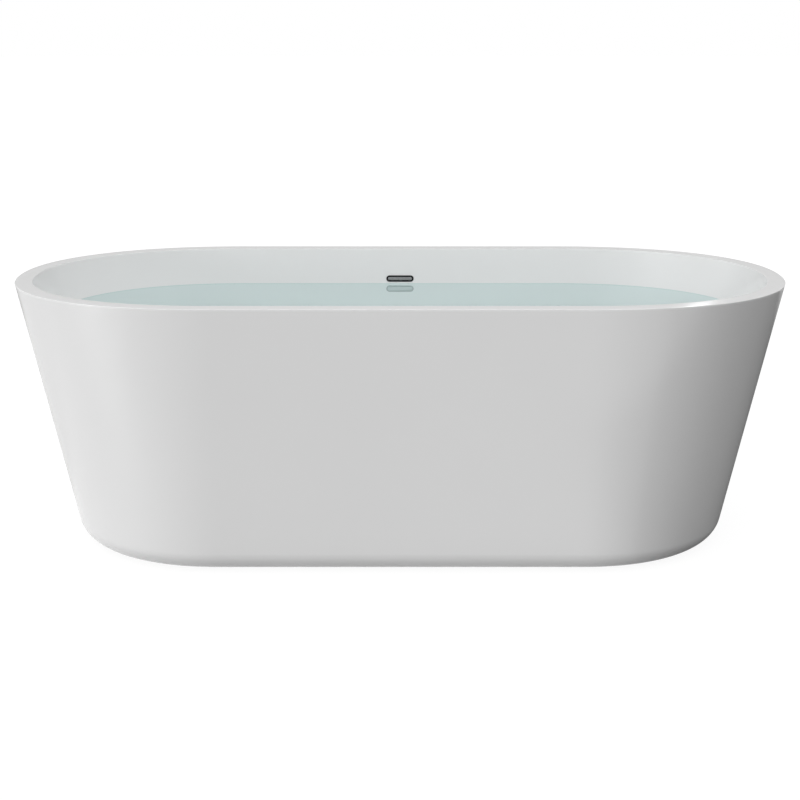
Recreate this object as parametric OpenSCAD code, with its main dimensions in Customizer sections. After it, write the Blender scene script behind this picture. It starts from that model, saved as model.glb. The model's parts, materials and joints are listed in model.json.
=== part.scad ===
// Freestanding soaking bathtub. An acrylic basin and an outer skirt meet under the rim and
// stand on a steel frame with four screw feet. A click-up waste sits in the middle of the
// floor and a slot overflow high in the back wall drains into it through a pipe that runs
// between the two shells. Millimetres. The origin is on the floor under the middle of the
// tub, X runs along it, +Y is the overflow side and +Z is up.

/* [Overall] */
// Length over the rim
tub_length = 1700; // [1500:10:1900]
// Width over the rim
tub_width = 750; // [700:10:850]
// Height from the floor to the top of the rim
tub_height = 580; // [550:5:640]
// Length of the straight part of each long side
straight_side = 772; // [640:4:900]
// Fullness of the round ends, where 2 is an ellipse and more is squarer
end_fullness = 2.15; // [2:0.05:2.5]

/* [Rim] */
// Width of the flat rim, up to the rounding into the basin
rim_width = 35; // [34:1:46]
// Thickness of the rim
rim_thickness = 6; // [5:0.5:9]
// Rounding of the rim's outer edge
rim_edge_radius = 1; // [0.5:0.25:3]
// Rounding of the rim's inner edge
rim_inner_radius = 3; // [2:0.5:8]

/* [Outer skirt] */
// Thickness of the skirt
skirt_wall = 5; // [4:0.5:7]
// How far each round end of the skirt has drawn in at the floor
skirt_end_taper = 118; // [80:2:140]
// How far each long side of the skirt has drawn in at the floor
skirt_side_taper = 30; // [22:1:44]
// Rounding where the skirt turns under
skirt_bottom_radius = 49; // [42:1:58]
// Gap between the skirt and the floor
skirt_floor_gap = 3; // [2:0.5:6]
// Width of the flat return under the skirt
return_width = 30; // [28:1:40]
// Width of the flange at the top of the skirt that the rim is bonded to
bond_flange_width = 26; // [20:1:28]

/* [Basin] */
// Thickness of the basin wall
basin_wall = 6; // [5:0.5:7]
// Height of the basin floor around the waste
basin_floor_height = 148; // [140:1:170]
// Fall of the basin floor from its edge to the waste
floor_fall = 4; // [2:0.5:6]
// Thickness of the basin floor at the waste
floor_thickness = 8; // [7:0.5:11]
// Slope of the basin's ends from upright, in degrees
basin_end_lean = 22; // [16:0.5:24]
// Slope of the basin's long sides from upright, in degrees
basin_side_lean = 7; // [6:0.5:8.5]
// Rounding between the basin's walls and its floor
basin_bottom_radius = 90; // [60:2:100]

/* [Frame] */
// Length of the support board under the basin
board_length = 940; // [860:10:1000]
// Width of the support board
board_width = 380; // [366:2:400]
// Thickness of the support board
board_thickness = 18; // [15:1:22]
// Rounding of the support board's corners
board_corner = 40; // [10:5:60]
// Side of the square steel tube
tube_side = 25; // [24:1:30]
// Wall of the square steel tube
tube_wall = 2; // [1.5:0.5:3]
// Length of the two long rails
rail_length = 900; // [840:10:960]
// Distance from the board's long edge in to the middle of each rail
rail_inset = 25; // [22:1:40]
// Places of the outer crossbars from the middle
outer_bar_place = 350; // [300:10:360]
// Places of the inner crossbars from the middle
inner_bar_place = 130; // [100:10:160]
// Distance of each board screw from the tub's middle line
board_screw_place = 100; // [60:5:120]
// Diameter of the board screws
board_screw_d = 5; // [4:0.5:6]
// Thickness of the skirt brackets
bracket_thickness = 3; // [2:0.5:4]
// Width of the skirt brackets
bracket_width = 40; // [36:2:60]
// Distance of each bracket from the end of the straight side
bracket_inset = 86; // [60:2:100]
// Diameter of the bracket screws
bracket_screw_d = 4; // [3:0.5:5]
// Height of the battens under the rim
batten_height = 22; // [15:1:26]
// Distance of each batten's end from the end of the straight side
batten_inset = 36; // [20:2:60]

/* [Feet] */
// Diameter of the screwed foot stud
stud_d = 12; // [10:1:14]
// Width across the flats of the foot nuts
nut_flats = 19; // [18:1:22]
// Height of the foot nuts
nut_height = 10; // [8:1:12]
// Diameter of the foot pad
pad_d = 50; // [40:2:60]
// Height of the foot pad
pad_height = 12; // [10:1:15]
// How far each foot screws out below its rest height
foot_travel = 20; // [10:1:20]
// Distance of each foot from the end of its rail
foot_inset = 40; // [36:1:60]

/* [Waste] */
// Diameter of the waste flange
waste_flange_d = 71; // [68:1:78]
// Outer diameter of the waste's threaded throat
throat_d = 42; // [40:1:44]
// Wall of the throat
throat_wall = 2.5; // [2:0.25:3]
// Outer diameter of the waste body
body_d = 50; // [49:1:54]
// Diameter of the tail pipe
tail_d = 38.1; // [32:0.1:40]
// Wall of the tail pipe
tail_wall = 1.5; // [1:0.25:2]
// Height of the tail pipe's end above the floor
tail_end_height = 8; // [4:1:12]
// Diameter of the stopper cap
cap_d = 62; // [60:1:65]
// How far the stopper rises when it is clicked open
stopper_travel = 8; // [5:0.5:10]
// Diameter of the stopper's plunger
plunger_d = 11; // [9:0.5:12]

/* [Overflow] */
// Distance from the top of the rim down to the middle of the overflow
overflow_below_rim = 73; // [66:1:90]
// Width of the overflow's face
overflow_w = 68; // [60:1:80]
// Height of the overflow's face
overflow_h = 16; // [15:1:20]
// Width of the dark lip round the overflow
overflow_lip = 1.5; // [1.25:0.25:2.25]
// Gap round the plate that the water runs in through
overflow_gap = 1.5; // [1.25:0.25:2]
// Depth of the overflow housing behind the wall
housing_depth = 27; // [26.5:0.25:27.5]
// Diameter of the overflow pipe
pipe_d = 28; // [26:1:28]
// Wall of the overflow pipe
pipe_wall = 2; // [1.5:0.25:2.5]
// Bend radius of the overflow pipe's elbow
pipe_bend = 40; // [32:2:50]
// Wall of the elbow's sockets
elbow_wall = 3; // [2:0.5:4]
// Depth of the elbow's sockets
elbow_socket = 16; // [12:1:20]

/* [Hidden] */

$fn = 64;

// Steps of the plan curve from the tip of an end to the start of a long side
end_steps = 16;
// Angle between two rings of points round a bottom rounding
round_step = 15;

// Radial clearance of a stud or a plunger in its bore
running_fit = 0.05;
// Clearance all round a piece that is bonded or dropped in
loose_fit = 0.3;
// How far a cut runs past the face that it opens
past = 1;

half_straight = straight_side / 2;
end_reach = tub_length / 2 - half_straight;
side_reach = tub_width / 2;
skirt_top = tub_height - rim_thickness;
// The tub is widest just under the rounding of the rim's edge
widest_z = tub_height - rim_edge_radius;
skirt_end_lean = atan(skirt_end_taper / widest_z);
skirt_side_lean = atan(skirt_side_taper / widest_z);

// Height of the basin floor's outer edge and of its flat underside
floor_edge = basin_floor_height + floor_fall;
floor_under = basin_floor_height - floor_thickness;

frame_top = floor_under - board_thickness;
frame_bottom = frame_top - tube_side;
rail_y = board_width / 2 - rail_inset;
rail_face = rail_y + tube_side / 2;
foot_x = rail_length / 2 - foot_inset;
foot_places = [[-foot_x, -rail_y], [foot_x, -rail_y], [foot_x, rail_y], [-foot_x, rail_y]];

// A ring of the plan curve at height z, anticlockwise from the tip of the right end. The
// straight sides are 2 * s long, and the ends reach a beyond them and b to each side.
function end_point(s, a, b, i) = let (turn = 90 * i / end_steps)
    [s + a * pow(cos(turn), 2 / end_fullness), b * pow(sin(turn), 2 / end_fullness)];

function plan_ring(z, a, b, s) = concat(
    [for (i = [0 : end_steps]) let (p = end_point(s, a, b, i)) [p.x, p.y, z]],
    [for (i = [end_steps : -1 : 0]) let (p = end_point(s, a, b, i)) [-p.x, p.y, z]],
    [for (i = [1 : end_steps]) let (p = end_point(s, a, b, i)) [-p.x, -p.y, z]],
    [for (i = [end_steps : -1 : 1]) let (p = end_point(s, a, b, i)) [p.x, -p.y, z]]
);

// Skin between rings of points, which are given with the material on the right of the
// way they run. The skin either closes on itself or is closed by its first and last ring.
module ring_skin(rings, closed_loop = false) {
    count = len(rings[0]);
    last = len(rings) - 1;
    points = [for (ring = rings) each ring];
    pairs = closed_loop ? [for (k = [0 : last]) [k, (k + 1) % (last + 1)]]
                        : [for (k = [0 : last - 1]) [k, k + 1]];
    sides = [for (pair = pairs, j = [0 : count - 1])
        let (a = pair[0] * count + j, b = pair[0] * count + (j + 1) % count,
             c = pair[1] * count + (j + 1) % count, d = pair[1] * count + j)
        each [[a, b, c], [a, c, d]]];
    caps = closed_loop ? [] : [
        [for (j = [count - 1 : -1 : 0]) j],
        [for (j = [0 : count - 1]) last * count + j]
    ];
    polyhedron(points = points, faces = concat(sides, caps), convexity = 8);
}

// Reach of a leaning wall at height z, with a rounding of radius r onto the level base.
// The wall has the reach top at the height top_z.
function wall_reach(z, top, top_z, lean, base, r) =
    let (foot = top - (top_z - base) * tan(lean),
         centre = foot + r * tan(lean) - r / cos(lean))
    z >= base + r * (1 - sin(lean)) ? top - (top_z - z) * tan(lean)
                                    : centre + sqrt(max(0, r * r - pow(base + r - z, 2)));

// Heights of the rings round a bottom rounding, from its base up to the upright wall
function round_heights(base, r, lean) = concat(
    [for (turn = [0 : round_step : 90 - lean - round_step / 3]) base + r * (1 - cos(turn))],
    [base + r * (1 - sin(lean))]
);

// Reach of the basin's inner face at height z, for an end or a side
function inner_reach(z, reach, lean) =
    let (r = rim_inner_radius, tangent_z = tub_height - r + r * sin(lean))
    z > tangent_z
        ? reach - rim_width - sqrt(max(0, r * r - pow(z - tub_height + r, 2)))
        : wall_reach(z, reach - rim_width - r * cos(lean), tangent_z, lean, floor_edge,
                     basin_bottom_radius);

// Reach of the basin's hidden face at height z, for an end or a side
function back_reach(z, reach, lean) =
    let (r = rim_inner_radius, tangent_z = tub_height - r + r * sin(lean))
    wall_reach(z, reach - rim_width - r * cos(lean) + basin_wall / cos(lean), tangent_z, lean,
               floor_under, basin_bottom_radius + basin_wall);

// Reach of the skirt's outer and inner face at height z, for an end or a side
function skirt_reach(z, reach, lean) =
    wall_reach(z, reach, widest_z, lean, skirt_floor_gap, skirt_bottom_radius);
function skirt_inner_reach(z, reach, lean) =
    wall_reach(z, reach - skirt_wall / cos(lean), widest_z, lean,
               skirt_floor_gap + skirt_wall, skirt_bottom_radius - skirt_wall);

function inner_ring(z) = plan_ring(z, inner_reach(z, end_reach, basin_end_lean),
                                   inner_reach(z, side_reach, basin_side_lean), half_straight);
function back_ring(z) = plan_ring(z, back_reach(z, end_reach, basin_end_lean),
                                  back_reach(z, side_reach, basin_side_lean), half_straight);
function skirt_ring(z) = plan_ring(z, skirt_reach(z, end_reach, skirt_end_lean),
                                   skirt_reach(z, side_reach, skirt_side_lean), half_straight);
function skirt_inner_ring(z) = plan_ring(z, skirt_inner_reach(z, end_reach, skirt_end_lean),
                                         skirt_inner_reach(z, side_reach, skirt_side_lean),
                                         half_straight);
// A ring at a distance in from the tub's widest line
function inset_ring(z, inset) = plan_ring(z, end_reach - inset, side_reach - inset, half_straight);

function reversed(list) = [for (i = [len(list) - 1 : -1 : 0]) list[i]];

// Height and place of the overflow on the basin's back wall
overflow_z = tub_height - overflow_below_rim;
overflow_y = inner_reach(overflow_z, side_reach, basin_side_lean);

// Overflow pieces are drawn flat: X along the tub, Y up the wall and Z out of the wall
// into the basin, from the wall's face.
module on_back_wall() {
    translate([0, overflow_y, overflow_z]) rotate([90 - basin_side_lean, 0, 0]) children();
}

module pill(w, h) {
    square([w - h, h], center = true);
    for (side = [-1, 1]) translate([side * (w - h) / 2, 0]) circle(d = h);
}

module at_feet() {
    for (place = foot_places) translate(place) children();
}

module hex_nut(flats, height, bore) {
    difference() {
        cylinder(h = height, d = flats / cos(30), $fn = 6);
        translate([0, 0, -past]) cylinder(h = height + 2 * past, d = bore);
    }
}

module flat_ring(outer, inner, height) {
    difference() {
        cylinder(h = height, d = outer);
        translate([0, 0, -past]) cylinder(h = height + 2 * past, d = inner);
    }
}

// Waste levels, from the basin floor down
recess_depth = 4;
seal_height = 1.5;
flange_rise = 2;
seat_depth = 2;
recess_z = basin_floor_height - recess_depth;
flange_under = recess_z + seal_height;
flange_top = basin_floor_height + flange_rise;
seat_z = flange_top - seat_depth;
recess_d = waste_flange_d + 2 * loose_fit;
seat_d = 56;
body_seal_height = 2.5;
body_flange_d = 70;
body_flange_height = 3.5;
body_top = floor_under - body_seal_height;
throat_drop = 16;
throat_end = frame_top - throat_drop;
board_hole_d = 84;

// The overflow pipe runs level under the rails and into the side of the waste body
pipe_rail_gap = 5;
pipe_z = frame_bottom - pipe_rail_gap - pipe_d / 2;
inlet_wall = 5;
inlet_d = pipe_d + 2 * inlet_wall;
inlet_end = 60;
socket_depth = 20;
body_margin = 2;
body_bottom = pipe_z - inlet_d / 2 - body_margin;
body_bore = throat_d + 2 * running_fit;
spigot_wall = 4;
spigot_d = tail_d + 2 * spigot_wall;
spigot_height = 15;
spigot_end = body_bottom - spigot_height;
washer_height = 3;
nut_lip = 3;
tail_socket = 14;

// Click mechanism
spoke_rise = 2;
spoke_z = throat_end + spoke_rise;
spoke_height = 6;
hub_d = 16;
nipple_d = 8;
sleeve_base = spoke_z + spoke_height;
boss_d = 24;
boss_drop = 5;
boss_base = seat_z - boss_drop;
boss_gap = 2;
sleeve_top = boss_base - boss_gap;
sleeve_floor = 2;
// Length of plunger that stays in the sleeve when the stopper is open
plunger_lap = 10;
plunger_base = sleeve_top - stopper_travel - plunger_lap;
spring_base = sleeve_base + sleeve_floor;
spring_height = plunger_base - loose_fit - spring_base;
stem_d = 6;
cap_under = flange_top + loose_fit;
cap_height = 6;

// Overflow pieces
hole_w = overflow_w - 2 * overflow_lip;
hole_h = overflow_h - 2 * overflow_lip;
lip_height = 1.2;
frame_wall = 1;
frame_depth = basin_wall + 4;
web_height = 2;
plate_w = hole_w - 2 * frame_wall - 2 * overflow_gap;
plate_h = hole_h - 2 * frame_wall - 2 * overflow_gap;
plate_height = 2;
peg_d = 3;
peg_inset = 8;
peg_place = plate_w / 2 - peg_inset;
frame_screw_d = 2.5;
frame_screw_inset = 5;
frame_screw_place = hole_w / 2 - frame_screw_inset;
frame_screw_head = 2;
frame_screw_bite = 6;
gasket_height = 1.5;
housing_side = 13;
housing_w = overflow_w + 2 * housing_side;
housing_cover = 11;
housing_h = overflow_h + 2 * housing_cover;
housing_wall = 2.5;
housing_front = -basin_wall - gasket_height;
spigot_top = -housing_h / 2;
pipe_lap = 18;
// Depth of the pipe's middle behind the face of the wall
pipe_back = 2;
pipe_depth = -housing_front + housing_depth / 2 + pipe_back;

module basin_shell() {
    inner_heights = round_heights(floor_edge, basin_bottom_radius, basin_side_lean);
    back_heights = round_heights(floor_under, basin_bottom_radius + basin_wall, basin_side_lean);
    rim_turns = [for (turn = [90 - basin_side_lean : -round_step : round_step]) turn];
    land = waste_flange_d;
    color("white") difference() {
        ring_skin(concat(
            [plan_ring(basin_floor_height, land, land, land / 2)],
            [for (z = inner_heights) inner_ring(z)],
            [for (turn = rim_turns) inner_ring(tub_height - rim_inner_radius * (1 - cos(turn)))],
            [inner_ring(tub_height)],
            [for (turn = [0 : 2 * round_step : 90])
                inset_ring(tub_height - rim_edge_radius * (1 - cos(turn)),
                           rim_edge_radius * (1 - sin(turn)))],
            [skirt_ring(skirt_top)],
            [back_ring(skirt_top)],
            reversed([for (z = back_heights) back_ring(z)]),
            [plan_ring(floor_under, land, land, land / 2)]
        ));
        translate([0, 0, floor_under - past])
            cylinder(h = floor_thickness + 2 * past, d = throat_d + 2 * loose_fit);
        translate([0, 0, recess_z]) cylinder(h = recess_depth + past, d = recess_d);
        on_back_wall() translate([0, 0, -basin_wall - past])
            linear_extrude(basin_wall + 2 * past) pill(hole_w, hole_h);
    }
}

// Where the skirt's return is flat, and the line of screws along it
return_outer = skirt_inner_reach(skirt_floor_gap + skirt_wall, side_reach, skirt_side_lean);
return_top = skirt_floor_gap + skirt_wall;
return_screw_y = return_outer - return_width / 2;
bracket_x = half_straight - bracket_inset;
screw_sink = skirt_wall - 1;

module outer_skirt() {
    flat_end = skirt_reach(skirt_floor_gap, end_reach, skirt_end_lean);
    flat_side = skirt_reach(skirt_floor_gap, side_reach, skirt_side_lean);
    outer_heights = round_heights(skirt_floor_gap, skirt_bottom_radius, skirt_side_lean);
    inner_heights = round_heights(return_top, skirt_bottom_radius - skirt_wall, skirt_side_lean);
    color("white") difference() {
        ring_skin(concat(
            [inset_ring(skirt_top, bond_flange_width), skirt_ring(skirt_top)],
            reversed([for (z = outer_heights) skirt_ring(z)]),
            [for (z = [skirt_floor_gap, return_top])
                plan_ring(z, flat_end - return_width, flat_side - return_width, half_straight)],
            [for (z = inner_heights) skirt_inner_ring(z)],
            [skirt_inner_ring(skirt_top - skirt_wall),
             inset_ring(skirt_top - skirt_wall, bond_flange_width)]
        ), closed_loop = true);
        for (x = [-1, 1] * bracket_x, side = [-1, 1])
            translate([x, side * return_screw_y, return_top - screw_sink])
                cylinder(h = screw_sink + past, d = bracket_screw_d + 2 * running_fit);
    }
}

// Timber strips bonded between the two shells under the rim
module rim_battens() {
    top = skirt_top - skirt_wall;
    bottom = top - batten_height;
    length = straight_side - 2 * batten_inset;
    section = [
        [back_reach(top, side_reach, basin_side_lean) + loose_fit, top],
        [skirt_inner_reach(top, side_reach, skirt_side_lean) - loose_fit, top],
        [skirt_inner_reach(bottom, side_reach, skirt_side_lean) - loose_fit, bottom],
        [back_reach(bottom, side_reach, basin_side_lean) + loose_fit, bottom]
    ];
    color("burlywood") for (side = [0, 1]) mirror([0, side, 0])
        translate([-length / 2, 0, 0]) rotate([90, 0, 90]) linear_extrude(length) polygon(section);
}

module support_board() {
    straight_x = board_length / 2 - board_corner;
    straight_y = board_width / 2 - board_corner;
    color("burlywood") translate([0, 0, frame_top]) difference() {
        linear_extrude(board_thickness) union() {
            square([board_length, 2 * straight_y], center = true);
            square([2 * straight_x, board_width], center = true);
            for (x = [-1, 1] * straight_x, y = [-1, 1] * straight_y)
                translate([x, y]) circle(r = board_corner);
        }
        translate([0, 0, -past]) cylinder(h = board_thickness + 2 * past, d = board_hole_d);
        at_board_screws() translate([0, 0, -past])
            cylinder(h = board_screw_bite + past, d = board_screw_d + 2 * running_fit);
    }
}

bar_places = [-outer_bar_place, -inner_bar_place, inner_bar_place, outer_bar_place];
board_screw_cover = 5;
board_screw_bite = board_thickness - board_screw_cover;
screw_head_height = 3;

module at_board_screws() {
    for (x = bar_places, y = [-1, 1] * board_screw_place) translate([x, y, 0]) children();
}

// Square tube along X, on its middle line
module square_tube(length) {
    difference() {
        cube([length, tube_side, tube_side], center = true);
        cube([length + 2 * past, tube_side - 2 * tube_wall, tube_side - 2 * tube_wall],
             center = true);
    }
}

module frame_rails() {
    color("dimgray") difference() {
        for (y = [-1, 1] * rail_y)
            translate([0, y, frame_bottom + tube_side / 2]) square_tube(rail_length);
        at_feet() translate([0, 0, frame_bottom - past])
            cylinder(h = tube_wall + 2 * past, d = stud_d + 2 * loose_fit);
        at_bracket_bolts() rotate([90, 0, 0]) translate([0, 0, -past])
            cylinder(h = tube_wall + 2 * past, d = bracket_screw_d + 2 * running_fit);
    }
}

module frame_crossbars() {
    length = 2 * rail_y - tube_side;
    color("dimgray") difference() {
        for (x = bar_places) translate([x, 0, frame_bottom + tube_side / 2])
            rotate([0, 0, 90]) square_tube(length);
        at_board_screws() translate([0, 0, frame_bottom - past])
            cylinder(h = tube_side + 2 * past, d = board_screw_d + 2 * running_fit);
    }
}

module rail_caps() {
    cap_height = 3;
    plug_depth = 12;
    plug = tube_side - 2 * tube_wall - 2 * running_fit;
    color("black") for (x = [-1, 1] * rail_length / 2, y = [-1, 1] * rail_y)
        translate([x, y, frame_bottom + tube_side / 2]) rotate([0, sign(x) * 90, 0]) {
            translate([0, 0, cap_height / 2]) cube([tube_side, tube_side, cap_height], center = true);
            translate([0, 0, -plug_depth / 2]) cube([plug, plug, plug_depth], center = true);
        }
}

module pan_screw(d, length, head_height) {
    cylinder(h = length, d = d);
    translate([0, 0, -head_height]) cylinder(h = head_height, d = 2 * d);
}

module board_screws() {
    color("silver") at_board_screws() translate([0, 0, frame_bottom])
        pan_screw(board_screw_d, tube_side + board_screw_bite, screw_head_height);
}

// One child at each bolt through a bracket into the outer face of its rail, Y outward
module at_bracket_bolts() {
    for (side = [0, 1], x = [-1, 1] * bracket_x, shift = [-1, 1] * bracket_width / 4)
        mirror([0, side, 0]) translate([x + shift, rail_face, frame_bottom + tube_side / 2])
            children();
}

module skirt_brackets() {
    t = bracket_thickness;
    leg_top = frame_top - tube_wall;
    tab_inner = return_outer - return_width + t;
    section = [
        [rail_face, leg_top],
        [rail_face + t, leg_top],
        [rail_face + t, frame_bottom + t / 3],
        [tab_inner + t / 2, return_top + t],
        [return_outer, return_top + t],
        [return_outer, return_top],
        [tab_inner, return_top],
        [rail_face, frame_bottom]
    ];
    color("gray") difference() {
        for (side = [0, 1], x = [-1, 1] * bracket_x) mirror([0, side, 0])
            translate([x - bracket_width / 2, 0, 0]) rotate([90, 0, 90])
                linear_extrude(bracket_width) polygon(section);
        for (x = [-1, 1] * bracket_x, side = [-1, 1])
            translate([x, side * return_screw_y, return_top - past])
                cylinder(h = t + 2 * past, d = bracket_screw_d + 2 * running_fit);
        at_bracket_bolts() rotate([-90, 0, 0]) translate([0, 0, -past])
            cylinder(h = t + 2 * past, d = bracket_screw_d + 2 * running_fit);
    }
}

module bracket_bolts() {
    bolt_spare = 4;
    reach = bracket_thickness + tube_wall + bolt_spare;
    color("silver") at_bracket_bolts() translate([0, bracket_thickness, 0]) rotate([90, 0, 0])
        pan_screw(bracket_screw_d, reach, screw_head_height);
}

module bracket_screws() {
    color("silver") for (x = [-1, 1] * bracket_x, side = [-1, 1])
        translate([x, side * return_screw_y, return_top + bracket_thickness]) rotate([180, 0, 0])
            pan_screw(bracket_screw_d, bracket_thickness + screw_sink, screw_head_height);
}

module weld_nuts() {
    color("dimgray") at_feet() translate([0, 0, frame_bottom - nut_height])
        hex_nut(nut_flats, nut_height, stud_d + 2 * running_fit);
}

module lock_nuts() {
    color("silver") at_feet() translate([0, 0, frame_bottom - 2 * nut_height])
        hex_nut(nut_flats, nut_height, stud_d + 2 * running_fit);
}

// A foot's stud stands in its pad and reaches far enough into the rail that it still fills
// the welded nut when the foot is screwed right out
pad_floor = 4;
pad_neck_wall = 5;
pad_neck_d = stud_d + 2 * pad_neck_wall;
pad_neck_height = 4;
key_rise = 2;
key_height = 8;
key_flats = stud_d + 1.5;
stud_top = frame_bottom + foot_travel;

module foot_stud(place) {
    key_base = pad_height + pad_neck_height + key_rise;
    color("silver") translate(place) {
        translate([0, 0, pad_floor]) cylinder(h = stud_top - pad_floor, d = stud_d);
        translate([0, 0, key_base]) cylinder(h = key_height, d = key_flats / cos(30), $fn = 6);
    }
}

module foot_pad(place) {
    edge = 2;
    section = [
        [0, 0], [pad_d / 2 - edge, 0], [pad_d / 2, edge], [pad_d / 2, pad_height / 2],
        [pad_neck_d / 2, pad_height], [pad_neck_d / 2, pad_height + pad_neck_height],
        [stud_d / 2 + running_fit, pad_height + pad_neck_height],
        [stud_d / 2 + running_fit, pad_floor], [0, pad_floor]
    ];
    color("black") translate(place) rotate_extrude() polygon(section);
}

module drain_flange() {
    outer = waste_flange_d / 2;
    throat = throat_d / 2;
    bore = throat - throat_wall;
    edge = 1.5;
    section = [
        [bore, throat_end], [throat, throat_end], [throat, flange_under], [outer, flange_under],
        [outer, flange_top - edge], [outer - edge, flange_top], [seat_d / 2 + edge, flange_top],
        [seat_d / 2, flange_top - edge / 2], [seat_d / 2, seat_z], [bore + edge, seat_z],
        [bore, seat_z - edge]
    ];
    spoke_w = 3;
    color("silver") difference() {
        union() {
            rotate_extrude() polygon(section);
            translate([0, 0, spoke_z]) cylinder(h = spoke_height, d = hub_d);
            for (turn = [0, 120, 240]) rotate([0, 0, turn])
                translate([0, -spoke_w / 2, spoke_z])
                    cube([bore + throat_wall / 2, spoke_w, spoke_height]);
        }
        translate([0, 0, spoke_z - past])
            cylinder(h = spoke_height + 2 * past, d = nipple_d + 2 * running_fit);
    }
}

module flange_seal() {
    color("black") translate([0, 0, recess_z])
        flat_ring(waste_flange_d - 2, throat_d + 2 * loose_fit, seal_height);
}

module body_seal() {
    color("black") translate([0, 0, body_top])
        flat_ring(body_flange_d - 2, throat_d + 2 * loose_fit, body_seal_height);
}

module drain_body() {
    inner_bore = throat_d - 2;
    color("gainsboro") difference() {
        union() {
            translate([0, 0, body_bottom]) cylinder(h = body_top - body_bottom, d = body_d);
            translate([0, 0, body_top - body_flange_height])
                cylinder(h = body_flange_height, d = body_flange_d);
            translate([0, 0, spigot_end]) cylinder(h = spigot_height + past, d = spigot_d);
            translate([0, inlet_end, pipe_z]) rotate([90, 0, 0]) cylinder(h = inlet_end, d = inlet_d);
        }
        translate([0, 0, throat_end - past])
            cylinder(h = body_top - throat_end + 2 * past, d = body_bore);
        translate([0, 0, body_bottom + washer_height])
            cylinder(h = body_top - body_bottom, d = inner_bore);
        translate([0, 0, spigot_end - past])
            cylinder(h = tail_socket + past, d = tail_d + 2 * running_fit);
        translate([0, 0, spigot_end - past])
            cylinder(h = body_top - spigot_end, d = tail_d - 2 * tail_wall);
        translate([0, inlet_end + past, pipe_z]) rotate([90, 0, 0])
            cylinder(h = inlet_end + past, d = pipe_d - 2 * pipe_wall);
        translate([0, inlet_end + past, pipe_z]) rotate([90, 0, 0])
            cylinder(h = socket_depth + past, d = pipe_d + 2 * running_fit);
    }
}

module tail_washer() {
    color("black") translate([0, 0, spigot_end - washer_height])
        flat_ring(spigot_d, tail_d + 2 * running_fit, washer_height);
}

// A slip nut over a threaded end: it laps the thread and closes with a lip over the washer
module slip_nut(thread, pipe, lap) {
    wall = 4;
    sides = 8;
    base = -washer_height - nut_lip;
    difference() {
        translate([0, 0, base])
            cylinder(h = lap - base, d = (thread + 2 * wall) / cos(180 / sides), $fn = sides);
        translate([0, 0, -washer_height])
            cylinder(h = washer_height + lap + past, d = thread + 2 * running_fit);
        translate([0, 0, base - past])
            cylinder(h = nut_lip + 2 * past, d = pipe + 2 * running_fit);
    }
}

// Length of thread that each slip nut leaves bare
thread_spare = 3;

module tail_nut() {
    color("gainsboro") translate([0, 0, spigot_end])
        slip_nut(spigot_d, tail_d, spigot_height - thread_spare);
}

// A bead round the tail pipe stops it against the nut
module tail_pipe() {
    bead_top = spigot_end - washer_height - nut_lip;
    bead_height = 2;
    bead_rise = 1.5;
    bore = tail_d - 2 * tail_wall;
    color("silver") {
        translate([0, 0, tail_end_height])
            flat_ring(tail_d, bore, spigot_end + tail_socket - tail_end_height);
        translate([0, 0, bead_top - bead_height])
            flat_ring(tail_d + 2 * bead_rise, bore, bead_height);
    }
}

module click_sleeve() {
    color("gold") difference() {
        union() {
            translate([0, 0, sleeve_base]) cylinder(h = sleeve_top - sleeve_base, d = hub_d);
            translate([0, 0, spoke_z]) cylinder(h = spoke_height + past, d = nipple_d);
        }
        translate([0, 0, spring_base])
            cylinder(h = sleeve_top - sleeve_base, d = plunger_d + 2 * running_fit);
    }
}

// The spring's outer shape under the plunger
module click_spring() {
    wire = 1;
    color("silver") translate([0, 0, spring_base])
        flat_ring(plunger_d - 1, plunger_d - 1 - 2 * wire, spring_height);
}

module stopper_stem() {
    color("gold") {
        translate([0, 0, plunger_base]) cylinder(h = boss_base - plunger_base, d = plunger_d);
        translate([0, 0, boss_base - past]) cylinder(h = cap_under - boss_base, d = stem_d);
    }
}

module stopper_cap() {
    edge = 2;
    crown = 2;
    section = [
        [0, cap_under], [cap_d / 2 - edge / 2, cap_under], [cap_d / 2, cap_under + edge],
        [cap_d / 2 - edge, cap_under + cap_height - crown],
        [cap_d / 4, cap_under + cap_height - crown / 4], [0, cap_under + cap_height]
    ];
    color("silver") difference() {
        union() {
            rotate_extrude() polygon(section);
            translate([0, 0, boss_base]) cylinder(h = cap_under - boss_base + past, d = boss_d);
        }
        translate([0, 0, boss_base - past])
            cylinder(h = cap_under - boss_base + past, d = stem_d + 2 * running_fit);
    }
}

module stopper_seal() {
    color("black") translate([0, 0, seat_z])
        flat_ring(seat_d - 2, boss_d + 2 * running_fit, cap_under - seat_z);
}

module overflow_frame() {
    color("dimgray") on_back_wall() difference() {
        union() {
            linear_extrude(lip_height) pill(overflow_w, overflow_h);
            translate([0, 0, -frame_depth]) linear_extrude(frame_depth + lip_height)
                pill(hole_w - 2 * loose_fit, hole_h - 2 * loose_fit);
        }
        translate([0, 0, -frame_depth + web_height]) linear_extrude(frame_depth + lip_height)
            pill(hole_w - 2 * frame_wall, hole_h - 2 * frame_wall);
        translate([0, 0, -frame_depth - past]) linear_extrude(web_height + 2 * past) {
            square([2 * peg_place - 2 * peg_d, hole_h - 2 * frame_wall], center = true);
            for (x = [-1, 1] * peg_place) translate([x, 0]) circle(d = peg_d + 2 * running_fit);
            for (x = [-1, 1] * frame_screw_place)
                translate([x, 0]) circle(d = frame_screw_d + 2 * running_fit);
        }
    }
}

module overflow_plate() {
    peg_lap = plate_height / 2;
    color("silver") on_back_wall() {
        translate([0, 0, -plate_height]) linear_extrude(plate_height) pill(plate_w, plate_h);
        for (x = [-1, 1] * peg_place) translate([x, 0, -frame_depth])
            cylinder(h = frame_depth - plate_height + peg_lap, d = peg_d);
    }
}

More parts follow.
